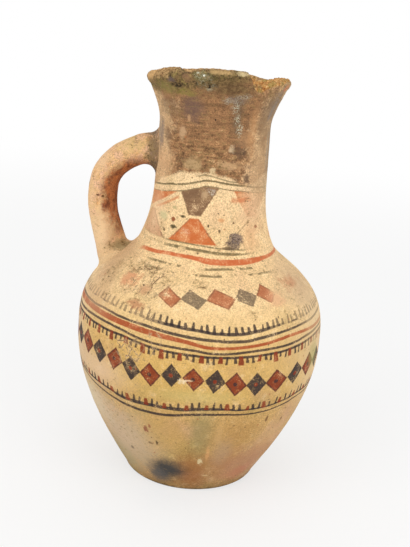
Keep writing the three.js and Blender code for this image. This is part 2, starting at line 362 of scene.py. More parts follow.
# height and screen colour of the slip, from the foot up
slipTones = [(0, (172, 134, 86)), (14, (190, 150, 96)), (50, (202, 163, 104)), (80, (210, 169, 106)),
             (100, (217, 176, 102)), (124, (224, 181, 108)), (138, (240, 201, 138)),
             (158, (244, 208, 154)), (200, (250, 213, 160)), (240, (251, 217, 168))]
tones = {
    "pink": (205, 160, 128),
    "greenOchre": (184, 158, 92),
    "pale": (246, 220, 178),
    "speck": (96, 72, 54),
    "rust": (176, 112, 72),
    "soot": (158, 114, 76),
    "sootDark": (98, 66, 42),
    "sootLight": (220, 176, 126),
    "sootUpper": (148, 108, 74),
    "tan": (208, 168, 122),
    "tanBrown": (178, 138, 100),
    "dirt": (84, 64, 42),
    "dirtThin": (158, 128, 84),
    "crack": (84, 54, 36),
    "crackLip": (232, 196, 148),
    "moss": (98, 87, 47),
    "mossYellow": (150, 134, 74),
    "mossDark": (44, 36, 24),
    "mossBrown": (124, 94, 60),
    "crust": (190, 184, 156),
    "beige": (192, 154, 108),
    "crestTan": (212, 172, 120),
    "crestBrown": (142, 104, 66),
    "inside": (150, 120, 88),
    "insideDark": (112, 88, 66),
    "raw": (202, 147, 84),
    "rawPale": (228, 188, 130),
    "rawDark": (146, 92, 50),
    "crustShade": (86, 76, 50),
    "hand": (232, 186, 132),
    "handPink": (236, 188, 148),
    "handOrange": (206, 150, 94),
    # the inside of the handle's bend: its own reddish brown, darkened further as painted shade
    "inner": (178, 106, 60),
    "innerDark": (118, 58, 30),
}


def grainLayer(clay):
    grained = clay.grain.span(0.3, 0.7, 0.74, 1.22) * clay.fleck.span(0.3, 0.7, 0.68, 1.26)
    calm = clay.height.step(80, 96) * clay.height.step(164, 146)
    clay.cover(calm.between(1, 0.62), clay.grey(grained), "MULTIPLY")


def slipLayer(clay):
    ramp = clay.node("ValToRGB", {0: clay.height / jug["height"]})
    stops = ramp.color_ramp.elements
    for i, (height, tone) in enumerate(slipTones):
        stop = stops[i] if i < 2 else stops.new(1)
        stop.position = min(1, height / jug["height"])
        stop.color = nodeTone(tone)
    clay.colour = Value(clay, ramp.outputs[0])
    low = clay.height.step(115, 60)
    clay.cover(clay.cloud.step(0.5, 0.72) * low.between(0.35, 0.75), "pink")
    greenish = clay.point.shifted(90, 0, 40).noise(30, 3).step(0.5, 0.75)
    clay.cover(greenish * low.between(0.25, 0.6), "greenOchre")
    clay.cover(clay.mottle.step(0.52, 0.75) * low.between(0.4, 0.14), "pale")
    clay.cover(1, clay.grey(clay.mottle.span(0.25, 0.6, 0.88, 1.03)), "MULTIPLY")
    grainLayer(clay)


# Painting of the body. Every path is the brush's way round the jug: (degrees from the front, height).
upperPath = [(-180, 140), (-120, 139), (-70, 141), (-50, 141.5), (-40, 142), (-30, 141.3), (-20, 140.8),
             (-10, 139.8), (0, 138.4), (10, 137.2), (20, 136), (27, 135.7), (35, 136.7), (50, 138.8),
             (70, 140), (120, 141), (180, 140)]
lowerPath = [(-180, 86), (-120, 87), (-60, 88), (-50, 87.5), (-40, 86.5), (-30, 85), (-20, 83),
             (-10, 83.5), (0, 83.7), (10, 84.8), (19, 85.8), (30, 84.3), (40, 84), (50, 84.8), (60, 85.8),
             (70, 87), (120, 85), (180, 86)]
lowestPath = [(-180, 81), (-120, 83), (-60, 86), (-50, 84.5), (-40, 82), (-30, 79.5), (-20, 77.5),
              (-10, 77), (0, 78), (10, 80.5), (20, 81.3), (30, 80.5), (40, 80), (50, 80.8), (60, 82),
              (70, 83.5), (120, 81), (180, 81)]
chainPath = [(-180, 109), (-120, 110), (-58, 113), (-38, 111.6), (-27, 111), (-19, 108.6), (-9, 107.6),
             (0, 109.4), (10, 108.5), (19, 107.5), (27, 105.6), (37, 104), (48, 104), (60, 105.5),
             (70, 107.5), (80, 108), (130, 110), (180, 109)]
footPath = [(-180, 180.5), (-100, 180), (-60, 179), (-50, 180.2), (-30, 181.2), (-12, 182.1), (0, 181.7),
            (10, 180.7), (20, 180), (35, 179.8), (50, 180), (70, 180.4), (120, 180.5), (180, 180.5)]
footThickness = [(-180, 0.9), (-60, 1.3), (-35, 1.2), (-15, 1.2), (5, 1.4), (15, 1.85), (45, 1.8),
                 (60, 1.4), (80, 1), (180, 0.9)]
redPath = [(-180, 135), (-120, 135.5), (-60, 138.5), (-40, 138.6), (-30, 138.2), (-20, 137.5),
           (-10, 136.5), (0, 135.2), (5, 134.2), (10, 132.7), (15, 131.5), (20, 131.2), (30, 131.8),
           (40, 133), (50, 134.5), (60, 135.3), (80, 134.2), (120, 134.5), (180, 135)]
fourthPath = [(-180, 131), (-120, 131.5), (-55, 133.5), (-40, 134.4), (-30, 133.9), (-20, 132),
              (-10, 130.4), (0, 129.7), (10, 129), (20, 127.6), (30, 128.4), (40, 129), (50, 129.1),
              (60, 130), (80, 131.2), (120, 131), (180, 131)]
fifthPath = [(-180, 127), (-120, 127.5), (-50, 129.8), (-30, 129.8), (-20, 128.8), (-10, 127.2), (0, 126),
             (10, 125.5), (20, 124.8), (30, 125), (40, 125.3), (50, 125.6), (60, 126.3), (70, 127.4),
             (80, 127.8), (120, 127), (180, 127)]
diamondPath = [(-180, 160), (-60, 160), (-7, 159), (6, 159.4), (20, 160.2), (34.5, 161), (47, 162),
               (90, 160), (180, 160)]
paints = {
    # where it lies thick, and where it lies thin
    "black": ((48, 40, 44), (82, 64, 56)),
    "red": ((132, 49, 25), (158, 70, 42)),
    "redBand": ((168, 74, 38), (202, 122, 80)),
    "brown": ((116, 82, 58), (160, 122, 88)),
    "greenBlack": ((88, 80, 50), (130, 116, 76)),
    "orange": ((202, 106, 54), (222, 148, 96)),
    "footRed": ((204, 102, 56), (222, 146, 100)),
    "pinkBrown": ((196, 140, 104), (214, 172, 132)),
}


def ringLine(clay, path, halfWidth):
    soft = 0.28
    away = abs(clay.height - path + (clay.grain - 0.5) * 0.7)
    if isinstance(halfWidth, Value):
        return (away - halfWidth).step(soft, -soft)
    return away.step(halfWidth + soft, halfWidth - soft)


def cellsAlong(clay, place, jitter):
    # cells round the jug: how far across its cell a point is, the cell's number, and its random values
    number = clay.math("FLOOR", place)
    chances = clay.parts("Color", clay.add("TexWhiteNoise", {"W": number + 0.5}, 1, noise_dimensions="1D"))
    return clay.math("FRACT", place) - 0.5 + (chances[0] - 0.5) * jitter, number, chances


def inEach(clay, number, count):  # 1 in every cell whose number is a multiple of count
    return clay.math("LESS_THAN", clay.math("WRAP", number, count, 0), 0.5)


def leaning(clay, off, rise, chance, most):  # no two strokes of a brush stand quite upright
    return clay.math("MULTIPLY_ADD", rise, (chance - 0.5) * most, off)


def tickRow(clay, path, upward, tick):
    # short brush marks standing on a line or hanging from it
    place = clay.around * (tick["count"] / 360) + tick["shift"]
    off, number, chances = cellsAlong(clay, place, 0.26)
    length = chances[1].between(0.72, 1.18) * tick["length"]
    width = chances[2].between(0.78, 1.18) * tick["halfWidth"]
    isRed = 0
    if tick["redEvery"]:
        isRed = inEach(clay, number, tick["redEvery"])
        length = length * isRed.between(1, tick["redLonger"])
        width = width * isRed.between(1, tick["redWider"])
    rise = clay.height - path
    off = leaning(clay, off, rise, chances[2], 0.07)
    share = (rise if upward else rise * -1) / length
    narrowing = share.between(tick["narrowAtLine"], 0.7 if upward else 1.15)
    across = abs(off) + (clay.grain - 0.5) * 0.14
    inWidth = (across - width * narrowing).step(0.06, -0.06)
    return inWidth * (share.step(-0.25, 0.02) * share.step(1.08, 0.88)), isRed


def diamondRow(clay, path, row):
    off, number, chances = cellsAlong(clay, clay.swayed(row["cells"]), 0.03)
    rise = clay.height - path + (chances[1] - 0.5) * row["heightJitter"]
    off = leaning(clay, off, rise, chances[0], row["lean"])
    off = clay.math("MULTIPLY_ADD", rise, row["slant"], off)
    ragged = (clay.grain - 0.5) * 0.16
    reach = abs(off) / row["halfWidth"] + abs(rise) / row["halfHeight"] + ragged
    inside = reach - chances[2].between(row["smallest"], 1.04)
    mask = inside.step(0.05, -0.05)
    dotWide = (off + 0.03) / row["dotWidth"]
    dotHigh = rise / row["dotHeight"]
    dot = (dotWide * dotWide + dotHigh * dotHigh + ragged).step(1.15, 0.8)
    return mask, inEach(clay, number, 2), mask * inside.step(-0.24, -0.1), dot


bodyTicks = {
    "upper": {"count": 114, "shift": 0.1, "length": 4.7, "halfWidth": 0.215, "narrowAtLine": 1.2,
              "redEvery": 0},
    "hanging": {"count": 126, "shift": -0.6, "length": 4.6, "halfWidth": 0.21, "narrowAtLine": 0.75,
                "redEvery": 3, "redLonger": 1.25, "redWider": 1.9},
    "lower": {"count": 117, "shift": 1.3, "length": 5.2, "halfWidth": 0.2, "narrowAtLine": 1.2,
              "redEvery": 3, "redLonger": 0.9, "redWider": 1.6},
}
# where each diamond's cell begins: (degrees, the cell's number)
chain = {
    "cells": [(-180, -11.577), (-64, 0), (-54, 1), (-43.5, 2), (-33, 3), (-23.5, 4), (-14.3, 5), (-4.7, 6),
              (4.5, 7), (14.2, 8), (22.8, 9), (32.5, 10), (42.2, 11), (54, 12), (65, 13), (75.5, 14),
              (180, 24.43)],
    "heightJitter": 0.6,
    "lean": 0.016,
    "slant": 0.0,
    "halfWidth": 0.51,
    "halfHeight": 8.9,
    "smallest": 0.94,
    "dotWidth": 0.1,
    "dotHeight": 1.5,
}
upperDiamonds = {
    "cells": [(-180, -12.5), (-13, -1), (-0.5, 0), (13, 1), (28, 2), (41, 3), (54, 4), (180, 13.5)],
    "heightJitter": 0.4,
    "lean": 0.03,
    "slant": 0.026,
    "halfWidth": 0.52,
    "halfHeight": 5.4,
    "smallest": 0.96,
    "dotWidth": 0.06,
    "dotHeight": 0.7,
}


def bodyPainting(clay):
    rise = clay.swayed(upperPath)
    wobble = (clay.point.shifted(3, 50, 9).noise(16, 1) - 0.5) * 1.6
    fade = abs(clay.around - 8).step(140, 66).between(0.55, 1)

    # the five lines round the shoulder, from the top one down; they are fainter on the right
    faint = clay.around.step(58, 74) * clay.around.step(124, 98)
    lineFade = fade * faint.between(1, 0.6)
    front = abs(clay.around - 17).step(42, 20)
    gaps = clay.math("MAXIMUM", front, clay.mottle.step(0.5, 0.6))
    top = rise + 4.8 + wobble
    clay.paint(ringLine(clay, top, front.between(0.5, 1.05)) * lineFade * gaps, "black", 0.9)
    mask, _ = tickRow(clay, top, True, bodyTicks["upper"])
    clay.paint(mask * front.between(0.6, 1), "black", 0.9)
    clay.paint(ringLine(clay, rise + wobble * -0.6, front.between(0.75, 1)) * lineFade, "black", 0.9)
    redRise = clay.swayed(redPath) + wobble * 0.3
    clay.paint(ringLine(clay, redRise, clay.around.span(-15, 18, 1.9, 1.05)) * lineFade, "redBand", 0.93)
    fourth = clay.swayed(fourthPath) + wobble * -0.4
    clay.paint(ringLine(clay, fourth, 0.86) * lineFade, "black", 0.92)
    fifth = clay.swayed(fifthPath) + wobble * 0.4
    clay.paint(ringLine(clay, fifth, 0.88) * lineFade, "black", 0.92)
    mask, isRed = tickRow(clay, fifth, False, bodyTicks["hanging"])
    mask = mask * lineFade.span(0.55, 1, 0.5, 1)
    clay.paint(mask * (1 - isRed), "black", 0.9)
    clay.paint(mask * isRed, "red", 0.95)

    # the row of worn diamonds on the shoulder
    upperRise = clay.swayed(diamondPath) + wobble * 0.4
    mask, isBlack, edge, _ = diamondRow(clay, upperRise, upperDiamonds)
    worn = (abs(clay.around - 18).step(42, 30) * clay.around.step(-17, -12)).between(0.08, 0.9)
    worn = worn * (clay.mottle + clay.grain * 0.4).step(0.96, 0.82)
    clay.paint(mask * worn * isBlack, "black", 0.8)
    clay.paint(mask * worn * (1 - isBlack), "redBand", 0.9)
    clay.paint(edge * worn * (1 - isBlack), "brown", 0.6)

    # the chain of diamonds round the belly, each with a dot of the other colour
    mask, isBlack, edge, dot = diamondRow(clay, clay.swayed(chainPath), chain)
    clay.paint(mask * fade * isBlack, "black")
    clay.paint(mask * fade * (1 - isBlack), "red")
    clay.paint(edge * fade * (1 - isBlack), "black", 0.6)
    clay.paint(dot * isBlack, "red", 0.9)
    clay.paint(dot * (1 - isBlack), "black", 0.8)

    # the two lines below, with their ticks
    lower = clay.swayed(lowerPath)
    strong = abs(clay.around + 4).step(40, 12)
    clay.paint(ringLine(clay, lower, strong.between(0.65, 1.4)) * fade, "black", 0.92)
    mask, isRed = tickRow(clay, lower, True, bodyTicks["lower"])
    clay.paint(mask * fade * (1 - isRed), "black", 0.9)
    clay.paint(mask * fade * isRed, "red", 0.9)
    clay.paint(ringLine(clay, clay.swayed(lowestPath), strong.between(0.6, 1.1)) * fade, "black", 0.92)

    # worn strokes under the neck's foot
    strokesAt = clay.around.step(-42, -28) * clay.around.step(76, 56)
    for height, width in ((175.8, 0.65), (172.2, 0.6)):
        gaps = clay.point.stretched(1, 1, 0.3).noise(8, 2).step(0.48, 0.55)
        mask = ringLine(clay, height + wobble, width) * gaps * fade.span(0.55, 1, 0.3, 1) * strokesAt
        clay.paint(mask, "greenBlack", 0.75)

    # the red line at the foot of the neck, of two strokes that overlap at the front right
    footRise = clay.swayed(footPath) + wobble * 0.3
    underHandle = abs(clay.around + 90).step(32, 44)
    mask = ringLine(clay, footRise, clay.swayed(footThickness)) * underHandle
    clay.paint(mask * fade.span(0.55, 1, 0.6, 1), "footRed")


# Painting of the neck: upside-down and upright triangles, whose gaps are cream lozenges
neckMotif = {
    # degrees, and the triangle's number there; the lozenges are the gaps halfway between
    "hanging": [(-180, -4), (-66, -1), (-60, -0.85), (-23, -0.52), (-20, -0.5), (-0.5, 0), (20, 0.5),
                (34, 0.52), (55, 0.85), (60, 1), (65, 1.15), (86, 1.48), (88, 1.5), (112, 2), (180, 4)],
    "standing": [(-180, -4), (-60, -1), (-27, -0.5), (-2.5, 0), (21, 0.5), (60, 1), (112, 2), (180, 4)],
    "foot": 190.2,
    "waist": 209.3,
    "narrow": 0.145,
    "topSpread": 0.335,
    "footSpread": 0.365,
}
neckLinePath = [(-180, 222), (-120, 223), (-80, 220), (-50, 221.6), (-30, 224), (-20, 225.4), (-10, 227.4),
                (0, 229.6), (9, 231), (20, 230), (30, 229), (45, 228), (80, 225), (120, 224), (180, 222)]


def neckPainting(clay):
    lineRise = clay.swayed(neckLinePath)
    wobble = (clay.point.shifted(13, 5, 29).noise(14, 1) - 0.5) * 1.6
    clear = abs(clay.around + 6).step(76, 40).between(0.4, 1)
    clay.paint(ringLine(clay, lineRise, 0.4) * clear, "greenBlack", 0.75)
    above = lineRise + clay.around.span(-30, 40, 5.2, 3.6) + wobble
    clay.paint(ringLine(clay, above, 0.7) * clear, "greenBlack", 0.85)
    above = lineRise + clay.around.span(0, 30, 8.6, 5.6) + wobble
    third = clay.around.step(-8, 2) * clay.around.step(50, 36) * 0.7
    clay.paint(ringLine(clay, above, 0.55) * third, "greenBlack", 0.9)

    # upside-down triangles, the orange ones with an echo of their left edge
    waist, foot, narrow = neckMotif["waist"], neckMotif["foot"], neckMotif["narrow"]
    uneven = (clay.grain - 0.5) * 0.03
    off, number, _ = cellsAlong(clay, clay.swayed(neckMotif["hanging"], "VECTOR") + 0.5, 0)
    up = (clay.height - waist) / (lineRise - waist)
    across = abs(clay.math("MULTIPLY_ADD", up, -0.065, off + 0.065)) + uneven
    past = across - up.between(narrow, narrow + neckMotif["topSpread"])
    hanging = past.step(0.02, -0.02) * up.step(0, 0.05) * up.step(1.02, 0.96)
    isFront = inEach(clay, number, 2)
    clay.paint(hanging * isFront * clear, "brown", 0.92)
    rightFade = clay.around.step(30, 56).between(0.95, 0.4)
    clay.paint(hanging * (1 - isFront) * clear * rightFade, "orange", 1)
    echo = abs(past - 0.12).step(0.04, 0.02) * (1 - isFront) * clay.around.step(-16, -24)
    clay.paint(echo * up.step(0, 0.12) * up.step(1.02, 0.9) * clear, "orange", 0.6)

    # upright triangles, all of them with an outline
    off, number, _ = cellsAlong(clay, clay.swayed(neckMotif["standing"], "VECTOR") + 0.5, 0)
    across = abs(off) + uneven
    down = clay.height.span(waist - 1.5, foot, 0, 1)
    reach = down.between(narrow - 0.06, narrow + neckMotif["footSpread"] - 0.035)
    underWaist = clay.height.step(waist - 1, waist - 2.2)
    aboveFoot = clay.height.step(foot, foot + 1)
    standing = (across - reach).step(0.02, -0.02) * underWaist * aboveFoot
    isFront = inEach(clay, number, 2)
    clay.paint(standing * isFront * clear, "orange", 0.97)
    clay.paint(standing * (1 - isFront) * clear * clay.around.step(10, -20), "pinkBrown", 0.75)
    outline = abs(across - reach * 0.95).step(0.022, 0.008) * underWaist * aboveFoot
    clay.paint(outline * clear * clay.mottle.step(0.4, 0.55), "brown", 0.7)

    # two dark lines under the triangles
    there = (clay.around.step(-34, -18) * clay.around.step(56, 42)).between(0.25, 1)
    for height, width, thickness in ((190.2, 0.5, 0.75), (187, 0.95, 0.85)):
        line = height + wobble * 0.5 + clay.around.span(-5, 42, 0.3, -2.6)
        mask = ringLine(clay, line, width) * clear * there
        clay.paint(mask * clay.mottle.step(0.34, 0.44), "greenBlack", thickness)


# Marks with a place of their own, stains and a few painted lights and shades: (degrees, height), half sizes
# in degrees and millimetres, colour, strength, softness, raggedness, and for marks that break up into dots
# how sparse those are
lowStainsAndPaintedLight = [
    # painted light: a pale patch that makes the belly's right side lighter, against the shading it gets
    # towards its edge
    ((80, 118), (16, 38), (240, 212, 172), 0.7, 0.9, 0.6),
    ((-72, 104), (18, 38), (224, 202, 176), 0.65, 0.9, 0.6),
    ((60, 120), (16, 20), (218, 184, 132), 0.4, 0.9, 0.6),
    ((-40, 98), (17, 10), (232, 198, 162), 0.65, 0.8, 1),
    ((12, 95), (16, 5), (206, 186, 116), 0.5, 0.8, 1),
    ((-30, 44), (22, 26), (208, 184, 154), 0.75, 0.8, 1),
    ((-54, 66), (15, 16), (224, 206, 174), 0.75, 0.8, 1),
    ((-20, 28), (8, 8), (196, 172, 136), 0.5, 0.8, 1),
    ((-52, 18), (20, 14), (172, 158, 120), 0.7, 0.7, 1.2),
    ((-2, 62), (11, 18), (200, 160, 88), 0.6, 0.8, 0.8),
    ((15, 64), (5.5, 22), (152, 138, 92), 0.65, 0.7, 1),
    ((32, 58), (11, 18), (184, 138, 78), 0.6, 0.9, 0.8),
    ((12, 22), (10, 19), (156, 98, 48), 0.75, 0.8, 1),
    ((30, 30), (10, 13), (172, 120, 76), 0.65, 0.8, 1),
    ((62, 50), (12, 20), (216, 172, 128), 0.5, 0.9, 1),
    ((52, 30), (18, 13), (182, 132, 100), 0.7, 0.8, 0.8),
    ((48, 16), (11, 7), (190, 122, 92), 0.6, 0.7, 1),
    ((28, 44), (5, 12), (186, 156, 124), 0.5, 0.8, 1.4),
    ((24, 63), (1.5, 8), (214, 174, 118), 0.4, 0.6, 6),
    ((20, 44), (1, 7), (222, 166, 108), 0.6, 0.5, 3),
    ((16.5, 35), (1.3, 2.8), (226, 206, 158), 0.85, 0.5, 7),
    ((22, 18), (2.2, 0.9), (220, 190, 140), 0.7, 0.4, 1.4),
    # painted shadow: a dark broken line round the front of the foot's edge, where the jug meets the floor
    ((0, 0.6), (120, 1.4), (92, 80, 50), 0.8, 0.7, 4),
    ((-4, 22), (11, 10), (58, 60, 62), 0.95, 0.7, 0.7),
    ((-12, 13), (7, 8), (74, 80, 86), 0.75, 0.7, 0.8),
    ((-13.5, 61), (1.4, 3), (140, 76, 56), 0.8, 0.4, 3),
    ((-11, 64), (0.7, 1.8), (150, 84, 60), 0.8, 0.4, 3),
    ((-8, 49), (0.8, 2), (84, 62, 42), 0.85, 0.4, 2.5),
    ((-12, 47.5), (2.4, 1.6), (110, 84, 58), 0.7, 0.4, 4),
    ((-27, 35), (1.2, 1.6), (106, 92, 74), 0.7, 0.4, 2),
    ((48, 72), (0.7, 2.4), (110, 76, 46), 0.8, 0.4, 2),
    ((60, 67), (1, 2), (120, 84, 54), 0.7, 0.4, 2),
]
highStains = [
    ((5.2, 106.5), (1.4, 1.9), (240, 216, 178), 0.9, 0.4, 5),
    ((7.4, 107.4), (1.8, 0.7), (238, 206, 166), 0.8, 0.4, 3),
    ((54, 160), (2.4, 5), (240, 204, 152), 0.6, 0.6, 4),
    ((80, 162), (18, 13), (200, 168, 132), 0.6, 0.9, 1),
    ((-64, 170), (17, 11), (194, 156, 114), 0.5, 0.8, 1),
    ((-22, 151), (3.5, 2.4), (178, 104, 72), 0.6, 0.6, 4),
    ((-35, 163), (5, 3.6), (216, 138, 98), 0.6, 0.7, 4),
    ((-22, 160), (4, 2.4), (204, 138, 104), 0.5, 0.7, 4),
    ((72, 164), (8, 3), (196, 122, 84), 0.5, 0.7, 4),
    ((52, 158), (5, 4), (226, 166, 128), 0.5, 0.6, 2),
    ((76, 112), (5, 9), (164, 160, 96), 0.6, 0.7, 1),
    ((-52, 146), (14, 10), (206, 166, 128), 0.5, 0.8, 1),
]
neckStains = [
    ((-50, 206), (11, 13), (246, 206, 164), 0.5, 0.8, 1),
    ((54, 196), (10, 8), (226, 172, 124), 0.5, 0.8, 2),
    ((-24, 205), (2.3, 1.6), (150, 84, 50), 0.95, 0.3, 0.6),
    ((-14.5, 208), (2.4, 0.7), (80, 70, 46), 0.95, 0.5, 3),
    ((-22.8, 199.9), (2.6, 1), (78, 70, 44), 0.95, 0.5, 3),
    ((-32, 196.2), (1.6, 0.9), (110, 88, 58), 0.85, 0.4, 1.4),
    ((-24, 213), (2.2, 1), (168, 160, 110), 0.7, 0.5, 2),
    ((-37, 206), (6, 3), (200, 196, 146), 0.6, 0.6, 1.4),
    ((23, 207.8), (3.2, 1.4), (222, 158, 104), 0.75, 0.5, 3),
    ((11, 203.6), (0.8, 0.9), (88, 66, 44), 0.95, 0.3, 1),
    ((21.5, 200.4), (1.2, 1.2), (96, 76, 52), 0.9, 0.3, 1.6),
    ((35, 206), (1.1, 0.8), (120, 92, 64), 0.9, 0.3, 1.4),
    ((34, 191), (5.6, 3.2), (104, 86, 78), 0.75, 0.5, 3),
    ((38, 195.5), (5.4, 3.2), (120, 104, 100), 0.75, 0.5, 3),
    ((36, 193.5), (8, 5), (78, 62, 58), 0.9, 0.4, 2, 0.5),
    ((29, 189), (4, 1.2), (104, 84, 62), 0.8, 0.5, 3),
    ((60, 214), (16, 12), (232, 186, 146), 0.55, 0.8, 1.6),
    ((43, 222), (8, 2), (214, 130, 84), 0.7, 0.6, 3),
    ((5.5, 225), (3.2, 3.2), (200, 166, 126), 0.8, 0.5, 2.4),
    ((12, 227), (4, 2.4), (206, 188, 168), 0.9, 0.4, 3, 0.47),
    ((-10, 197.5), (4, 2.6), (236, 192, 152), 0.8, 0.5, 3.4, 0.46),
    ((62, 202), (2, 1), (160, 96, 66), 0.8, 0.4, 1.4),
]
mouthStainsAndPaintedLight = [
    ((47, 236.5), (3.6, 3.6), (104, 80, 62), 0.85, 0.6, 3),
    ((-38, 297), (13, 3.8), (112, 100, 56), 0.55, 0.7, 4),
    ((15, 304), (13, 3.4), (84, 74, 42), 0.5, 0.7, 3),
    ((-12, 283), (10, 8), (112, 88, 80), 0.7, 0.6, 1.4),
    ((10, 277), (0.9, 0.8), (60, 42, 34), 0.9, 0.3, 0.4),
    ((-23, 266), (4, 4.5), (206, 168, 128), 0.7, 0.5, 2.6),
    ((-16, 276), (1.6, 2.2), (206, 160, 116), 0.7, 0.4, 1.6),
    ((28, 257), (3.4, 3), (222, 194, 156), 0.85, 0.5, 3.2),
    ((36, 256), (8, 4), (92, 72, 58), 0.6, 0.6, 3),
    ((-10, 245), (9, 4.4), (192, 160, 116), 0.8, 0.5, 2.6),
    ((11, 242), (2.6, 2), (224, 196, 150), 0.8, 0.4, 2.6),
    ((28, 246), (9, 3.4), (206, 166, 122), 0.75, 0.5, 3),
    ((40, 264), (8, 6), (168, 130, 94), 0.5, 0.6, 2),
    ((-40, 290), (7, 3.4), (170, 112, 78), 0.6, 0.6, 1.6),
    ((-40, 283), (14, 6), (122, 96, 70), 0.65, 0.8, 2),
    ((-47, 273), (6, 5), (206, 168, 124), 0.6, 0.6, 2.4),
    ((-44, 261), (6, 5), (138, 110, 84), 0.6, 0.7, 2.4),
    ((-46, 244), (12, 7), (222, 176, 130), 0.6, 0.8, 2),
    ((68, 274), (11, 13), (126, 100, 74), 0.75, 0.8, 2),
    ((68, 288), (12, 8), (118, 98, 78), 0.7, 0.8, 2),
    ((-56, 262), (5, 10), (140, 120, 106), 0.7, 0.5, 1.6),
    ((27, 291.5), (10, 3.4), (126, 108, 94), 0.75, 0.5, 2),
    ((19, 290.6), (3.6, 2.6), (176, 166, 146), 0.9, 0.5, 2, 0.46),
    ((32, 294), (6, 2), (186, 178, 158), 0.9, 0.5, 2, 0.47),
    ((28, 288), (6, 4), (172, 164, 146), 0.9, 0.6, 2, 0.5),
    ((31, 280), (5, 13), (106, 84, 62), 0.6, 0.6, 1.6),
    ((27.4, 285), (3, 4), (204, 200, 174), 0.9, 0.5, 2, 0.51),
    ((31, 278.5), (3, 4.6), (204, 200, 174), 0.9, 0.5, 2, 0.51),
    ((35, 271), (3, 4.4), (204, 200, 174), 0.9, 0.5, 2, 0.51),
    ((76, 289), (8, 12), (134, 116, 102), 0.7, 0.6, 2),
    ((92, 258), (14, 34), (134, 112, 90), 0.75, 0.8, 1.6),
    ((70, 246), (12, 30), (176, 140, 102), 0.5, 0.8, 2),
    ((73, 283), (2.8, 7), (144, 130, 118), 0.65, 0.5, 2),
    ((-60, 303), (12, 4.4), (222, 176, 118), 0.7, 0.6, 3),
    ((-64, 264), (8, 9), (136, 122, 110), 0.65, 0.7, 1.6),
    ((80, 254), (2.4, 12), (158, 144, 126), 0.6, 0.5, 2),
    ((50, 270), (5, 13), (200, 150, 102), 0.6, 0.8, 1.6),
    ((20, 299), (18, 5), (84, 66, 42), 0.75, 0.6, 1.4),
    ((-36, 295.5), (11, 4), (148, 132, 76), 0.6, 0.7, 3),
    ((-17, 294), (8, 2), (142, 130, 64), 0.65, 0.6, 2.6),
    ((-29, 300.6), (4, 2.2), (112, 96, 92), 0.75, 0.5, 1.4),
    # painted shade: a dark patch in the hollow under the front left of the lip
    ((-25, 298.2), (6.5, 1.7), (48, 38, 28), 0.9, 0.45, 1),
    ((-14, 304), (4, 2.6), (158, 118, 88), 0.6, 0.6, 3),
    ((-3, 306), (5.5, 3), (112, 102, 66), 0.7, 0.5, 3),
    ((-3, 306), (5.5, 3), (178, 172, 140), 0.75, 0.5, 3, 0.52),
    ((-1, 306.2), (0.8, 0.7), (240, 240, 224), 0.95, 0.3, 0.6),
    ((-6, 307.6), (1.2, 0.7), (206, 204, 178), 0.8, 0.3, 1),
    # painted shadow: a dark spot under the lime crust
    ((3, 299.2), (1.5, 1.3), (30, 22, 16), 0.95, 0.3, 0.6),
    # painted highlight: a pale streak under the lime crust
    ((3.6, 297.5), (2.4, 0.6), (186, 172, 140), 0.5, 0.5, 1.6),
    ((12, 309), (8, 1.2), (208, 172, 118), 0.7, 0.6, 3),
    ((29, 309), (4, 1.3), (222, 200, 152), 0.75, 0.5, 3),
    ((80, 299.6), (3, 2.2), (212, 124, 88), 0.7, 0.5, 2),
]
# Where dirt sits in the pores and where cracks run: place and half sizes as above, and how much of it
bodyDirt = [
    ((-24, 170), (12, 4), 0.95),
    ((-14, 165), (8, 3), 0.85),
    ((-38, 170), (11, 5), 0.9),
    ((-54, 162), (10, 12), 0.8),
    ((8, 167.5), (6, 2.6), 0.95),
    ((-28, 158), (20, 9), 0.6),
    ((-22, 150), (10, 3), 0.6),
    ((-44, 150), (4, 3), 0.8),
    ((-20, 122), (12, 12), 0.5),
    ((36, 151), (4, 3), 0.8),
    ((40, 174), (22, 3), 0.6),
    ((62, 146), (12, 6), 0.7),
    ((70, 160), (14, 12), 0.45),
    ((-30, 60), (30, 30), 0.45),
    ((20, 50), (32, 26), 0.3),
    ((20, 1), (80, 5), 0.95),
    ((-60, 10), (30, 12), 0.5),
    ((150, 150), (60, 30), 0.5),
]
neckDirt = [
    ((-46, 194), (20, 12), 0.6),
    ((54, 212), (26, 22), 0.5),
    ((6, 226), (12, 5), 0.7),
    ((20, 186), (30, 5), 0.6),
    ((0, 250), (44, 14), 0.8),
    ((-10, 275), (60, 20), 0.55),
    ((180, 240), (80, 50), 0.5),
]
mouthDirt = [
    ((0, 300), (200, 16), 0.75),
]
cracks = [
    ((-21, 122), (8, 12), 1),
    ((-9, 134), (3, 12), 1),
    ((-24, 166), (16, 9), 1),
    ((-16, 146), (8, 6), 0.8),
]


# stains, and the painted light and shade marks among them
def stainAndPaintedLightLayer(clay, stains):
    for at, size, tone, strength, soft, ragged, *dots in stains:
        mask = clay.nearTo(at, size, strength, soft, ragged)
        for sparse in dots:
            mask = mask * clay.fleck.step(sparse, sparse + 0.06)
        clay.cover(mask, tone)


def dirtLayer(clay, places):
    thick = clay.thickest(0.12, places)
    dirt = clay.point.stretched(1, 1, 1.8).noise(3.6, 5, 0.72)
    over = clay.math("MULTIPLY_ADD", thick, 0.17, dirt)
    clay.cover(over.step(0.6, 0.74) * 0.7, "dirtThin")
    clay.cover(over.step(0.7, 0.8) * 0.85, "dirt")
    pores = clay.math("MULTIPLY_ADD", thick, 0.1, clay.fleck)
    clay.cover(pores.step(0.68, 0.76) * 0.75, "dirt")


def crackLayer(clay):  # short cracks through slip and paint
    edge = clay.cellEdge(7, 0.13)
    opened = clay.thickest(0, cracks, 0.5) * clay.mottle.step(0.4, 0.56)
    clay.cover(edge.step(0.1, 0.05) * opened * 0.75, "crackLip")
    clay.cover(edge.step(0.045, 0.02) * opened * 0.9, "crack")


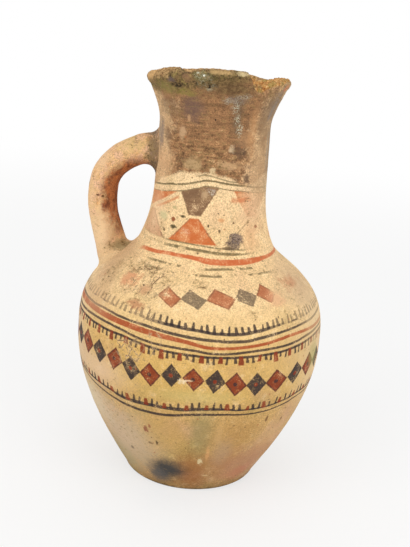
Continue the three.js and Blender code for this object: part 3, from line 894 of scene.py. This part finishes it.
sootPath = [(-180, 226), (-120, 230), (-80, 224), (-50, 232), (-30, 236.5), (-12, 240.5), (10, 241),
            (20, 239.5), (34, 237), (50, 233), (80, 240), (120, 232), (150, 222), (180, 226)]
mossPath = [(-180, 298), (-120, 294), (-80, 292), (-50, 291), (-30, 292.5), (-15, 294.5), (-5, 297),
            (5, 299), (16, 303), (30, 304), (45, 305), (60, 304), (90, 303), (120, 299), (180, 298)]
crestPath = [(-180, 305), (-138, 303.6), (-90, 303.2), (-65, 304.4), (-51, 306.2), (-36, 308.3),
             (-10, 310), (14, 310.8), (38, 309.6), (58, 307), (78, 306.4), (100, 305.4), (124, 303),
             (142, 300.8), (162, 303), (180, 305)]


def sootLayer(clay):
    uneven = (clay.mottle - 0.5) * 8 + (clay.grain - 0.5) * 6
    over = clay.height - clay.swayed(sootPath) + uneven
    drift = (clay.cloud - 0.5) * 60 + (clay.mottle - 0.5) * 50 + (clay.grain - 0.5) * 30
    fromFront = abs(clay.around - 6) + drift
    thick = clay.math("MAXIMUM", fromFront.step(62, 36), fromFront.step(120, 165) * 0.85)
    patches = clay.point.stretched(0.9, 0.9, 1.6).noise(4.6, 6, 0.78)
    deep = clay.blend(patches.step(0.38, 0.54), "sootDark", "soot")
    worn = patches + clay.height.span(272, 244, 0, 0.06)
    deep = clay.blend(worn.step(0.6, 0.7), deep, "sootLight")
    deep = clay.blend(clay.height.step(256, 276) * 0.5, deep, "sootUpper")
    thin = clay.blend(patches.step(0.4, 0.62), "tanBrown", "tan")
    lines = clay.point.stretched(0.08, 0.08, 1).noise(1.5, 3, 0.6).span(0.3, 0.7, 0.72, 1.3)
    lines = lines * clay.fleck.span(0.3, 0.7, 0.52, 1.55)
    tone = clay.blend(1, clay.blend(thick, thin, deep), clay.grey(lines), "MULTIPLY")
    clay.cover(over.step(-2.5, 0.5) * thick.between(0.72, 0.97), tone)


def mossLayer(clay):
    uneven = (clay.mottle - 0.5) * 12 + (clay.grain - 0.5) * 8
    mask = (clay.height - clay.swayed(mossPath) + uneven).step(-2.5, 3.5)
    patches = clay.point.shifted(9, 77, 2).noise(2.4, 4, 0.68)
    tone = clay.blend(patches.step(0.4, 0.55), "mossDark", "moss")
    tone = clay.blend(patches.step(0.53, 0.66), tone, "mossYellow")
    tone = clay.blend(clay.mottle.step(0.48, 0.62) * 0.5, tone, "mossBrown")
    tone = clay.blend(clay.fleck.step(0.54, 0.62) * 0.5, tone, "beige")
    clay.cover(mask * 0.93, tone)

    # the crest is rubbed bare, most of all at the sides
    bare = clay.height - clay.swayed(crestPath) + (clay.mottle - 0.5) * 12 + (patches - 0.5) * 12
    side = abs(clay.around - 8).step(26, 46)
    bare = (bare - side.between(-0.8, -5.6)).step(-2.2, 2.2) * side.between(0.45, 0.95)
    clay.cover(bare, clay.blend(patches.step(0.4, 0.58), "crestBrown", "crestTan"))


def crustLayer(clay):  # a small crust of lime, with rings, on the front of the lip
    region = clay.nearTo((2, 301.5), (8, 5), 1, 0.4)
    rings = clay.cellEdge(3, 0.45).step(0.12, 0.04) * clay.mottle.step(0.4, 0.56)
    clay.cover(region * 0.5, "crustShade")
    clay.cover(region * rings * 0.6, "crust")


def rawLayer(clay):  # where the lip is broken, the clay inside it shows
    fresh = (clay.shared("broken") + clay.rough * 0.9).step(0.3, 0.6) * clay.around.step(10, 28)
    pits = clay.point.shifted(4, 4, 60).noise(1.9, 3, 0.6)
    tone = clay.blend(pits.step(0.36, 0.52), "rawDark", "raw")
    tone = clay.blend(pits.step(0.54, 0.66), tone, "rawPale")
    clay.cover(fresh, clay.blend(clay.mottle.step(0.5, 0.62) * 0.65, tone, "mossYellow"))


def speckLayer(clay):
    for breadth, radius, tone, strength in ((3.6, 0.17, "speck", 0.8), (6.5, 0.13, "rust", 0.7)):
        cells = clay.node("TexVoronoi", {"Vector": clay.point, "Scale": 1 / breadth}, feature="F1").outputs
        size = clay.parts("Color", cells["Color"])[0].span(0.66, 1, 0, radius)
        clay.cover((Value(clay, cells["Distance"]) - size).step(0.03, -0.03) * strength, tone)


def insideLayer(clay):
    bottom = clay.height.step(10, 10.8) * clay.height.step(40, 30) * clay.out.step(55.5, 54.5)
    inside = clay.math("MAXIMUM", clay.facingOut.step(0.05, -0.3), bottom)
    clay.cover(inside, clay.blend(clay.mottle.step(0.38, 0.62), "insideDark", "inside"))


# Marks on the handle: (millimetres out from the jug's axis, height), and the rest as above
handleStainsAndPaintedLight = [
    ((41, 247), (5, 14), (104, 86, 68), 0.8, 0.6, 3),
    ((41, 231), (5, 7), (88, 72, 58), 0.8, 0.6, 2),
    ((72, 166), (14, 12), (212, 174, 130), 0.5, 0.8, 1),
    ((80, 188), (8, 9), (226, 188, 138), 0.55, 0.8, 1.6),
    ((46, 260), (8, 3), (104, 88, 74), 0.8, 0.6, 1.8),
    ((82.1, 209.7), (1.4, 0.9), (84, 48, 28), 0.95, 0.5, 2),
    ((78.6, 209), (0.9, 0.8), (92, 52, 30), 0.95, 0.5, 2),
    ((91.5, 219), (1.4, 3), (140, 122, 104), 0.7, 0.4, 1),
    # olive grime in the crease where the handle meets the shoulder, made darker as painted shade
    ((64, 172.5), (11, 3), (140, 124, 84), 0.75, 0.7, 2.6),
    ((72, 178), (4, 8), (172, 134, 92), 0.5, 0.7, 2),
    # painted light: a pale patch that lightens the lower part of the handle where it falls in shade
    ((80, 180), (9, 15), (246, 210, 164), 0.7, 0.7, 2),
    ((62, 250), (12, 5), (222, 190, 128), 0.6, 0.7, 2.6),
    ((82, 238), (6, 8), (240, 202, 164), 0.5, 0.7, 2),
    # painted highlight: a pale strip along the outside of the handle's bend
    ((88, 205), (3, 22), (244, 204, 152), 0.45, 0.8, 1.6),
]
handleDirt = [
    ((43, 246), (7, 16), 1),
    ((54, 252), (10, 8), 0.75),
    ((66, 172), (14, 5), 0.8),
    ((84, 200), (9, 40), 0.4),
    ((70, 244), (22, 12), 0.5),
]


def handLayer(clay):  # the handle's clay over the slip of the jug
    slip = clay.colour
    streaks = clay.point.stretched(1, 1, 0.5).noise(5, 5, 0.68)
    clay.colour = clay.blend(clay.mottle.step(0.42, 0.62), "hand", "handPink")
    clay.cover(streaks.step(0.52, 0.68) * 0.8, "handOrange")
    # the inside of the bend, which faces the jug, turns dark reddish brown: partly the clay's own colour,
    # partly painted shade
    inner = (clay.shared("inward") + clay.rough * 1.3).step(0, 0.55)
    reach = clay.height.step(175, 189) * clay.height.step(246, 232)
    clay.cover(inner * reach * 0.94, clay.blend(streaks.step(0.4, 0.6), "innerDark", "inner"))
    grainLayer(clay)

    # its foot takes the colour of the shoulder under it
    overShoulder = clay.out - clay.height.span(150, 190, 87, 46) + clay.rough * 8
    clay.cover(overShoulder.step(11, 2) * clay.height.step(196, 186), slip)

    # the marks that follow are placed as seen from the front's side, and only there
    x, y, _ = clay.parts("XYZ", clay.point)
    clay.flat = clay.add("CombineXYZ", {0: x * -1, 1: clay.height, 2: y.step(-4, 6) * 3})


def clayMaterial(name, roughness, *layers):
    clay = Clay(name)
    for layer, *table in layers:
        layer(clay, *table)
    lines = clay.point.stretched(0.12, 0.12, 1).noise(1.4)
    relief = clay.grain * 0.5 + clay.mottle * 0.45 + clay.fleck * 0.32 + lines * 0.14
    surface = {
        "Base Color": clay.colour,
        "Roughness": clay.mottle.span(0.3, 0.7, roughness + 0.08, roughness - 0.08),
        "Specular IOR Level": 0.16,
        "Normal": clay.add("Bump", {"Strength": 0.7, "Distance": metres, "Height": relief}),
    }
    clay.node("OutputMaterial", {0: clay.add("BsdfPrincipled", surface)})
    return clay.material


paintedSlip = clayMaterial(
    "paintedSlip", 0.72, (slipLayer,), (stainAndPaintedLightLayer, lowStainsAndPaintedLight), (bodyPainting,), (stainAndPaintedLightLayer, highStains),
    (crackLayer,), (dirtLayer, bodyDirt), (speckLayer,), (insideLayer,))
sootySlip = clayMaterial(
    "sootySlip", 0.8, (slipLayer,), (neckPainting,), (stainAndPaintedLightLayer, neckStains), (sootLayer,), (mossLayer,),
    (stainAndPaintedLightLayer, mouthStainsAndPaintedLight), (dirtLayer, neckDirt), (speckLayer,), (insideLayer,))
mossyClay = clayMaterial(
    "mossyClay", 0.86, (slipLayer,), (sootLayer,), (insideLayer,), (mossLayer,), (crustLayer,),
    (stainAndPaintedLightLayer, mouthStainsAndPaintedLight), (rawLayer,), (dirtLayer, mouthDirt))
handleClay = clayMaterial(
    "handleClay", 0.76, (slipLayer,), (handLayer,), (stainAndPaintedLightLayer, handleStainsAndPaintedLight), (dirtLayer, handleDirt),
    (speckLayer,))
print("materials ready")

# Base disc and the walls above it
walls = {
    "baseTop": 11,
    "baseEdgeRound": 3,
    "bellySeam": 111,
    "collarSeam": 187,
    "rimSeam": 289,
    "fine": 1.4,         # spacing of the outside's rings
    "neckFine": 1.0,
    "coarse": 7,         # and of the inside's
    "baseSideRings": (5, 7, 9, 11),
    "undersideRings": range(0, 46, 5),
}


def addBase():
    bend, top = walls["baseEdgeRound"], walls["baseTop"]
    edge = outside(bend)[0]
    corner = [(edge - bend + bend * math.sin(turn), bend - bend * math.cos(turn))
              for turn in (math.radians(15 * i) for i in range(7))]
    underside = [(radius, 0) for radius in walls["undersideRings"]]
    side = [(outside(height)[0], height) for height in walls["baseSideRings"]]
    bm = spunSection(underside + corner + side + [(30, top), (0, top)], closed=False)
    workByHand(bm)
    finish(bm, "baseDisc", ["base_disc"], paintedSlip)


def addCourse(name, node, material, lowSeam, highSeam, spacing):
    low, high = walls[lowSeam], walls[highSeam]
    half = jug["lap"] / 2
    lowOut, lowIn = (low, low) if lowSeam == "baseTop" else (low - half, low + half)
    section = sectionRun(lowOut, high - half, 0, walls[spacing])
    section += sectionRun(high + half, lowIn, 1, walls["coarse"])
    if lowSeam == "baseTop":
        section = [point for point in section if point[1] >= low]
        section.append((section[-1][0], low))
    bm = spunSection(section)
    workByHand(bm)
    finish(bm, name, [node], material)


addBase()
addCourse("lowerWall", "lower_wall", paintedSlip, "baseTop", "bellySeam", "fine")
addCourse("shoulderWall", "shoulder_wall", paintedSlip, "bellySeam", "collarSeam", "fine")
addCourse("neckCollar", "neck_collar", sootySlip, "collarSeam", "rimSeam", "neckFine")
print("walls ready")

# Rim band: the lip is higher at the front, uneven, notched at the front left and broken at the front right
lip = {
    # degrees round from the front, and how far the crest rises there above the crest at the back
    "levels": [(-180, 0), (-160, 0), (-138, -1.4), (-90, -1.8), (-65, -0.6), (-51, 1.2), (-38, 3.7),
               (-28, 4.8), (-10, 5.3), (14, 5.7), (24, 5.7), (32, 5.6), (42, 4.4), (58, 3.4), (78, 2.3),
               (100, 0.9), (124, -2), (134, -3.4), (142, -4.4), (150, -3), (162, -2), (172, 0), (180, 0)],
    # degrees, and how much of the lip is lost outside and inside
    "lost": [(-27, 0, 0), (-23.5, 1.8, 1.4), (-20.5, 3.2, 2.8), (-16.5, 4.5, 4), (-13, 3.8, 3.4),
             (-9.5, 2, 1.6), (-6, 1, 0.6), (-3, 0.2, 0.1), (20, 0.2, 0.1), (33.5, 0.3, 0.1),
             (35.5, 3.6, 1.6), (39.5, 9.4, 2.8), (42, 12, 2.6), (43.5, 13.4, 0.4), (45, 13.6, 0.8),
             (46.5, 13, 3.4), (48, 12.4, 4), (51, 9.5, 4.2), (54, 7.6, 3.2), (57, 6.4, 2.4), (62, 5.4, 2.4),
             (68, 4.8, 1.8), (73, 3.6, 1), (80, 2.2, 0.6), (88, 1.7, 0.6), (98, 1.6, 0.4), (108, 1.4, 0.4),
             (116, 0, 0)],
    "round": 4.25,
    "bead": (1.1, 299.5, 5),  # how far the lip swells outwards, at which height, and over what span
    "arcSteps": 22,
    "aroundSteps": 720,
    "outerRows": 24,
    "innerRows": 9,
    "lowering": (12, 0.6),   # in how many steps at most, and how high ones, a broken face is lowered
    "crust": (0.5, 3.2),     # height and breadth of the crust's lumps
    "grit": (0.22, 1.1),
    "brokenGrit": (0.8, 1.7),
    "crustFrom": (287, 296),  # heights over which the crust sets in
    "face": (50.5, 8),       # radius of the outer face, and how far in from it the inner one is
    "outerFrom": 46,         # from this radius on the bead and the hollow show
    "hollow": {"at": (-25, 298.2), "size": (6.5, 1.9), "depth": 1.5},
}


def along(stations, place, column=1):
    if place <= stations[0][0]:
        return stations[0][column]
    for before, after in zip(stations, stations[1:]):
        if place <= after[0]:
            share = (place - before[0]) / (after[0] - before[0])
            return before[column] + (after[column] - before[column]) * share
    return stations[-1][column]


def lipSection():
    # crest: a round over the wall's middle, lifted to the jug's height
    below = jug["height"] - lip["round"]
    radius, height = sectionPoint(below, 0.5)
    tilt = math.atan(outside(below)[1])
    lift = jug["height"] - lip["round"] - height
    turns = [math.pi * i / lip["arcSteps"] - tilt for i in range(lip["arcSteps"] + 1)]
    return [(radius + lip["round"] * math.cos(turn), height + lift + lip["round"] * math.sin(turn))
            for turn in turns]


def lipColumn(around):
    # the section at one place round the lip: outer face, crest or broken edge, inner face
    level = sum(along(lip["levels"], around + shift) for shift in (-5, -2.5, 0, 2.5, 5)) / 5
    lostOut = along(lip["lost"], around, 1)
    lostIn = along(lip["lost"], around, 2)
    half = jug["lap"] / 2
    seam = walls["rimSeam"]
    seamTop = sectionPoint(seam + half, 1)[1]

    def lifted(point):
        return point[0], point[1] + level * smooth(point[1], seamTop, jug["height"])

    def upTo(lost, depth, top):  # how high a face goes before it is broken off
        limit = jug["height"] + level - lost
        steps, stepHeight = lip["lowering"]
        for _ in range(steps):
            if lifted(sectionPoint(top, depth))[1] <= limit or top < seam + half + 0.5:
                break
            top -= stepHeight
        return top

    below = jug["height"] - lip["round"] - 1
    outTop, inTop = upTo(lostOut, 0, below), upTo(lostIn, 1, below)
    outer, inner = lip["outerRows"], lip["innerRows"]
    rowsOut = [lifted(sectionPoint(seam - half + (outTop - seam + half) * i / outer, 0))
               for i in range(outer + 1)]
    rowsIn = [lifted(sectionPoint(inTop + (seam + half - inTop) * i / inner, 1))
              for i in range(inner + 1)]
    arc = [lifted(point) for point in lipSection()]
    moveOut = (rowsOut[-1][0] - arc[0][0], rowsOut[-1][1] - arc[0][1])
    moveIn = (rowsIn[0][0] - arc[-1][0], rowsIn[0][1] - arc[-1][1])
    crest = []
    for i, (radius, height) in enumerate(arc[1:-1], 1):
        share = i / (len(arc) - 1)
        shareOut, shareIn = (1 - share) ** 1.6, share ** 1.6
        newHeight = height + moveOut[1] * shareOut + moveIn[1] * shareIn
        newHeight = min(newHeight, jug["height"] + level - (lostOut + (lostIn - lostOut) * share))
        crest.append((radius + moveOut[0] * shareOut + moveIn[0] * shareIn, newHeight))
    return rowsOut + crest + rowsIn


def addRim():
    steps = lip["aroundSteps"]
    columns = [lipColumn(turn * 360 / steps - 180) for turn in range(steps)]
    rowCount = len(columns[0])

    def place(rowShare, aroundShare):
        turn = round(aroundShare * steps) % steps
        radius, height = columns[turn][round(rowShare * (rowCount - 1))]
        around = math.radians(turn * 360 / steps - 180)
        return Vector((radius * math.sin(around), -radius * math.cos(around), height)), 0

    bm, brokenLayer = sheetOfSkin(rowCount - 1, steps, "broken", place)
    ends = [edge for edge in bm.edges if edge.is_boundary]
    bmesh.ops.bridge_loops(bm, edges=ends)
    bmesh.ops.recalc_face_normals(bm, faces=bm.faces)
    bm.normal_update()
    crust, grit, rough, face = lip["crust"], lip["grit"], lip["brokenGrit"], lip["face"]
    hollow, bead = lip["hollow"], lip["bead"]
    moves = []
    for vert in bm.verts:
        point = vert.co
        around = math.degrees(math.atan2(point.x, -point.y))
        level = along(lip["levels"], around)
        lostOut, lostIn = along(lip["lost"], around, 1), along(lip["lost"], around, 2)
        out = math.hypot(point.x, point.y)
        share = min(1, max(0, (face[0] - out) / face[1]))
        under = jug["height"] + level - (lostOut + (lostIn - lostOut) * share) - point.z
        fresh = smooth(max(lostOut, lostIn), 0.5, 1.5) * smooth(under, 1.6, 0.3)
        vert[brokenLayer] = fresh
        high = smooth(point.z, *lip["crustFrom"])
        move = crust[0] * high * (noise.noise(point / crust[1]) - 0.35)
        move += grit[0] * high * noise.noise(point / grit[1])
        move += rough[0] * fresh * (noise.noise(point / rough[1] + Vector((3, 8, 1))) - 0.3)
        wide = (around - hollow["at"][0]) / hollow["size"][0]
        tall = (point.z - hollow["at"][1]) / hollow["size"][1]
        if out > lip["outerFrom"]:
            move += bead[0] * smooth(abs(point.z - level - bead[1]), bead[2], 0)
            move -= hollow["depth"] * smooth(math.hypot(wide, tall), 1.25, 0.55)
        moves.append((vert, vert.normal * move))
    for vert, move in moves:
        out = Vector((vert.co.x, vert.co.y, 0)).normalized()
        vert.co += out * handDepth(vert.co) + move
    finish(bm, "rimBand", ["rim_band"], mossyClay, skin["roughSharpAngle"])


addRim()
print("rim ready")

# Handle: a bent roll of clay, smeared on to the neck and the shoulder
handle = {
    "line": [(36.45, 244), (51.76, 245.2), (63.7, 240.4), (74.39, 231.6), (80.4, 221.2), (81.8, 208.8),
             (80.81, 196), (77.4, 182.4), (73.3, 169.6), (69.38, 158.4), (63.78, 146)],
    "halfWidth": 12.5,
    "halfThickness": 11.2,
    "footSwell": 1.2,
    "swellStart": 0.62,
    "neckRise": (3.4, 0.17),    # how much higher the roll's back meets the neck, and over what share of it
    "lumps": (0.4, 14),
    "dents": (0.16, 4.5),
    # radius of the smeared clay inside and outside the bend, and two shares of the line that its edge lies
    # between, the first inside the wall and the second in the open
    "neckSmear": {"inner": 6.5, "outer": 8.5, "between": (0, 0.4)},
    "shoulderSmear": {"inner": 6, "outer": 3.2, "between": (1, 0.6)},
    "smearRows": 14,
    "rollRows": 110,
    "sides": 72,
}


def handleLine():
    # a smooth line through the points, and its length at each place
    places = [Vector((-radius, 0, height)) for radius, height in handle["line"]]
    places = [places[0] * 2 - places[1]] + places + [places[-1] * 2 - places[-2]]
    line = []
    for p0, p1, p2, p3 in zip(places, places[1:], places[2:], places[3:]):
        t1 = (p1 - p0).length ** 0.5
        t2 = t1 + (p2 - p1).length ** 0.5
        t3 = t2 + (p3 - p2).length ** 0.5
        for i in range(30):
            t = t1 + (t2 - t1) * i / 30
            a1 = p0 * ((t1 - t) / t1) + p1 * (t / t1)
            a2 = p1 * ((t2 - t) / (t2 - t1)) + p2 * ((t - t1) / (t2 - t1))
            a3 = p2 * ((t3 - t) / (t3 - t2)) + p3 * ((t - t2) / (t3 - t2))
            b1 = a1 * ((t2 - t) / t2) + a2 * (t / t2)
            b2 = a2 * ((t3 - t) / (t3 - t1)) + a3 * ((t - t1) / (t3 - t1))
            line.append(b1 * ((t2 - t) / (t2 - t1)) + b2 * ((t - t1) / (t2 - t1)))
    line.append(places[-2])
    lengths = [0]
    for before, after in zip(line, line[1:]):
        lengths.append(lengths[-1] + (after - before).length)
    return line, [length / lengths[-1] for length in lengths]


rollLine, rollShares = handleLine()


def rollCentre(share):
    low, high = 0, len(rollShares) - 1
    while high - low > 1:
        middle = (low + high) // 2
        if rollShares[middle] <= share:
            low = middle
        else:
            high = middle
    part = (share - rollShares[low]) / (rollShares[high] - rollShares[low])
    before = rollLine[max(0, low - 1)]
    after = rollLine[min(len(rollLine) - 1, high + 1)]
    return rollLine[low].lerp(rollLine[high], part), (after - before).normalized()


def rollPoint(share, turn):
    # a point on the roll's skin and the way out of it: turn 90 is the outside of the bend, 270 the inside
    centre, ahead = rollCentre(share)
    across = Vector((0, 1, 0))
    outward = across.cross(ahead).normalized()
    swell = 1 + (handle["footSwell"] - 1) * smooth(share, handle["swellStart"], 1)
    wide, thick = handle["halfWidth"] * swell, handle["halfThickness"] * swell
    rise, riseShare = handle["neckRise"]
    raised = rise * smooth(share, riseShare, 0.02) * max(0, math.sin(turn)) ** 1.5
    point = centre + across * (math.cos(turn) * wide) + outward * (math.sin(turn) * thick + raised)
    normal = (across * (math.cos(turn) / wide) + outward * (math.sin(turn) / thick)).normalized()
    lumps, dents = handle["lumps"], handle["dents"]
    depth = lumps[0] * (noise.noise(point / lumps[1]) - 0.6)
    depth += dents[0] * (noise.noise(point / dents[1]) - 0.5)
    return point + normal * depth, normal


def wallGap(point):  # how far a point is off the jug's wall, and the way out of the wall
    radius, lean = outside(point.z)
    out = Vector((point.x, point.y, 0))
    away = out.length
    out.normalize()
    onWall = out * radius + Vector((0, 0, point.z))
    normal = (out - Vector((0, 0, lean))).normalized()
    return (away - radius - handDepth(onWall)) / math.hypot(1, lean), normal


def shareAtGap(gap, turn, smear):
    inside, openAir = smear["between"]
    for _ in range(18):
        middle = (inside + openAir) / 2
        if wallGap(rollPoint(middle, turn)[0])[0] < gap:
            inside = middle
        else:
            openAir = middle
    return (inside + openAir) / 2


def smearRadius(smear, turn):
    inner = (1 - math.sin(turn)) / 2
    return smear["outer"] + (smear["inner"] - smear["outer"]) * inner


def endShare(smear, turn):
    return shareAtGap(smearRadius(smear, turn), turn, smear)


def closeEnds(bm):
    bmesh.ops.holes_fill(bm, edges=[edge for edge in bm.edges if edge.is_boundary], sides=0)


def addHandleRoll():
    neckEnd, shoulderEnd = {}, {}

    def place(share, aroundShare):
        side = round(aroundShare * handle["sides"]) % handle["sides"]
        turn = 2 * math.pi * side / handle["sides"]
        if side not in neckEnd:
            neckEnd[side] = endShare(handle["neckSmear"], turn)
            shoulderEnd[side] = endShare(handle["shoulderSmear"], turn)
        here = neckEnd[side] + (shoulderEnd[side] - neckEnd[side]) * share
        return rollPoint(here, turn)[0], -math.sin(turn)

    bm, _ = sheetOfSkin(handle["rollRows"], handle["sides"], "inward", place)
    closeEnds(bm)
    finish(bm, "handleRoll", ["handle_roll"], handleClay, skin["roughSharpAngle"])


def addSmear(name, node, smear):
    rows = handle["smearRows"]

    def place(share, aroundShare):
        side = round(aroundShare * handle["sides"]) % handle["sides"]
        turn = 2 * math.pi * side / handle["sides"]
        radius = smearRadius(smear, turn)
        row = round(share * (rows + 2))
        bend = math.radians(90 * min(row, rows) / rows)
        gap = radius * (1 - math.sin(bend))
        spread = radius * (1 - math.cos(bend)) + 0.5 * max(0, row - rows)
        wanted = gap - 0.3 * max(0, row - rows) ** 2
        point, normal = rollPoint(shareAtGap(gap, turn, smear), turn)
        for _ in range(3):
            _, off = wallGap(point)
            sideways = (normal - off * normal.dot(off)).normalized()
            point = point + sideways * spread
            spread = 0
            nowGap, off = wallGap(point)
            point = point + off * (wanted - nowGap)
        return point, -math.sin(turn)

    bm, _ = sheetOfSkin(rows + 2, handle["sides"], "inward", place)
    closeEnds(bm)
    finish(bm, name, [node], handleClay, skin["roughSharpAngle"])


addHandleRoll()
addSmear("handleNeckSmear", "handle_neck_fillet", handle["neckSmear"])
addSmear("handleShoulderSmear", "handle_shoulder_fillet", handle["shoulderSmear"])
print("handle ready")

# Stage: a pale floor that runs out to white, soft lamps
stage = {
    "floorTone": (239, 239, 238),
    "floorRadius": 12,
    "white": (1, 1, 1, 1),
    "plainness": 0.66,   # how much of the floor's shade the camera doesn't see
    "whiteFrom": 0.45,   # metres from the jug where the floor begins to turn to plain white
    "whiteBy": 1.6,
    "skyStrength": 0.72,
    "lamps": [
        {"name": "frontLeftLamp", "at": (-1.1, -1.5, 1.5), "size": 1.4, "power": 13.5},
        {"name": "frontRightLamp", "at": (1.4, -1.1, 1.0), "size": 1.4, "power": 9.8},
        {"name": "topLamp", "at": (0.1, 0.3, 1.8), "size": 1.6, "power": 3},
    ],
}


def addFloor():
    bm = bmesh.new()
    bmesh.ops.create_circle(bm, cap_ends=True, segments=64, radius=stage["floorRadius"])
    mesh = bpy.data.meshes.new("floor")
    bm.to_mesh(mesh)
    bm.free()
    floor = bpy.data.objects.new("floor", mesh)
    bpy.context.scene.collection.objects.link(floor)
    material = bpy.data.materials.new("paleFloor")
    sheet = NodeSheet(material)
    place = sheet.node("TexCoord").outputs["Object"]
    away = sheet.add("VectorMath", {0: place}, "Value", operation="LENGTH")
    far = away.step(stage["whiteFrom"], stage["whiteBy"]).between(stage["plainness"], 1)
    rays = sheet.node("LightPath").outputs
    seen = sheet.math("MAXIMUM", rays["Is Camera Ray"], rays["Is Glossy Ray"])
    seen = sheet.math("MAXIMUM", seen, rays["Is Transmission Ray"])
    lit = sheet.add("BsdfDiffuse", {"Color": nodeTone(stage["floorTone"])})
    glow = sheet.add("Emission", {"Color": stage["white"], "Strength": 1})
    sheet.node("OutputMaterial", {0: sheet.add("MixShader", {0: far * seen, 1: lit, 2: glow})})
    mesh.materials.append(material)


def addWorld():
    world = bpy.data.worlds.new("studio")
    bpy.context.scene.world = world
    sheet = NodeSheet(world)
    rays = sheet.node("LightPath").outputs
    seen = sheet.math("MAXIMUM", rays["Is Camera Ray"], rays["Is Transmission Ray"])
    sky = sheet.add("Background", {"Color": stage["white"], "Strength": stage["skyStrength"]})
    plain = sheet.add("Background", {"Color": stage["white"]})
    sheet.node("OutputWorld", {0: sheet.add("MixShader", {0: seen, 1: sky, 2: plain})})


def addLamp(lamp):
    data = bpy.data.lights.new(lamp["name"], "AREA")
    data.size = lamp["size"]
    data.energy = lamp["power"]
    light = bpy.data.objects.new(lamp["name"], data)
    bpy.context.scene.collection.objects.link(light)
    light.location = lamp["at"]
    aim = Vector((0, 0, jug["height"] * metres / 2)) - light.location
    light.rotation_euler = aim.to_track_quat("-Z", "Y").to_euler()


addFloor()
addWorld()
for lamp in stage["lamps"]:
    addLamp(lamp)
bpy.context.scene.view_settings.view_transform = "Standard"
print("stage ready")
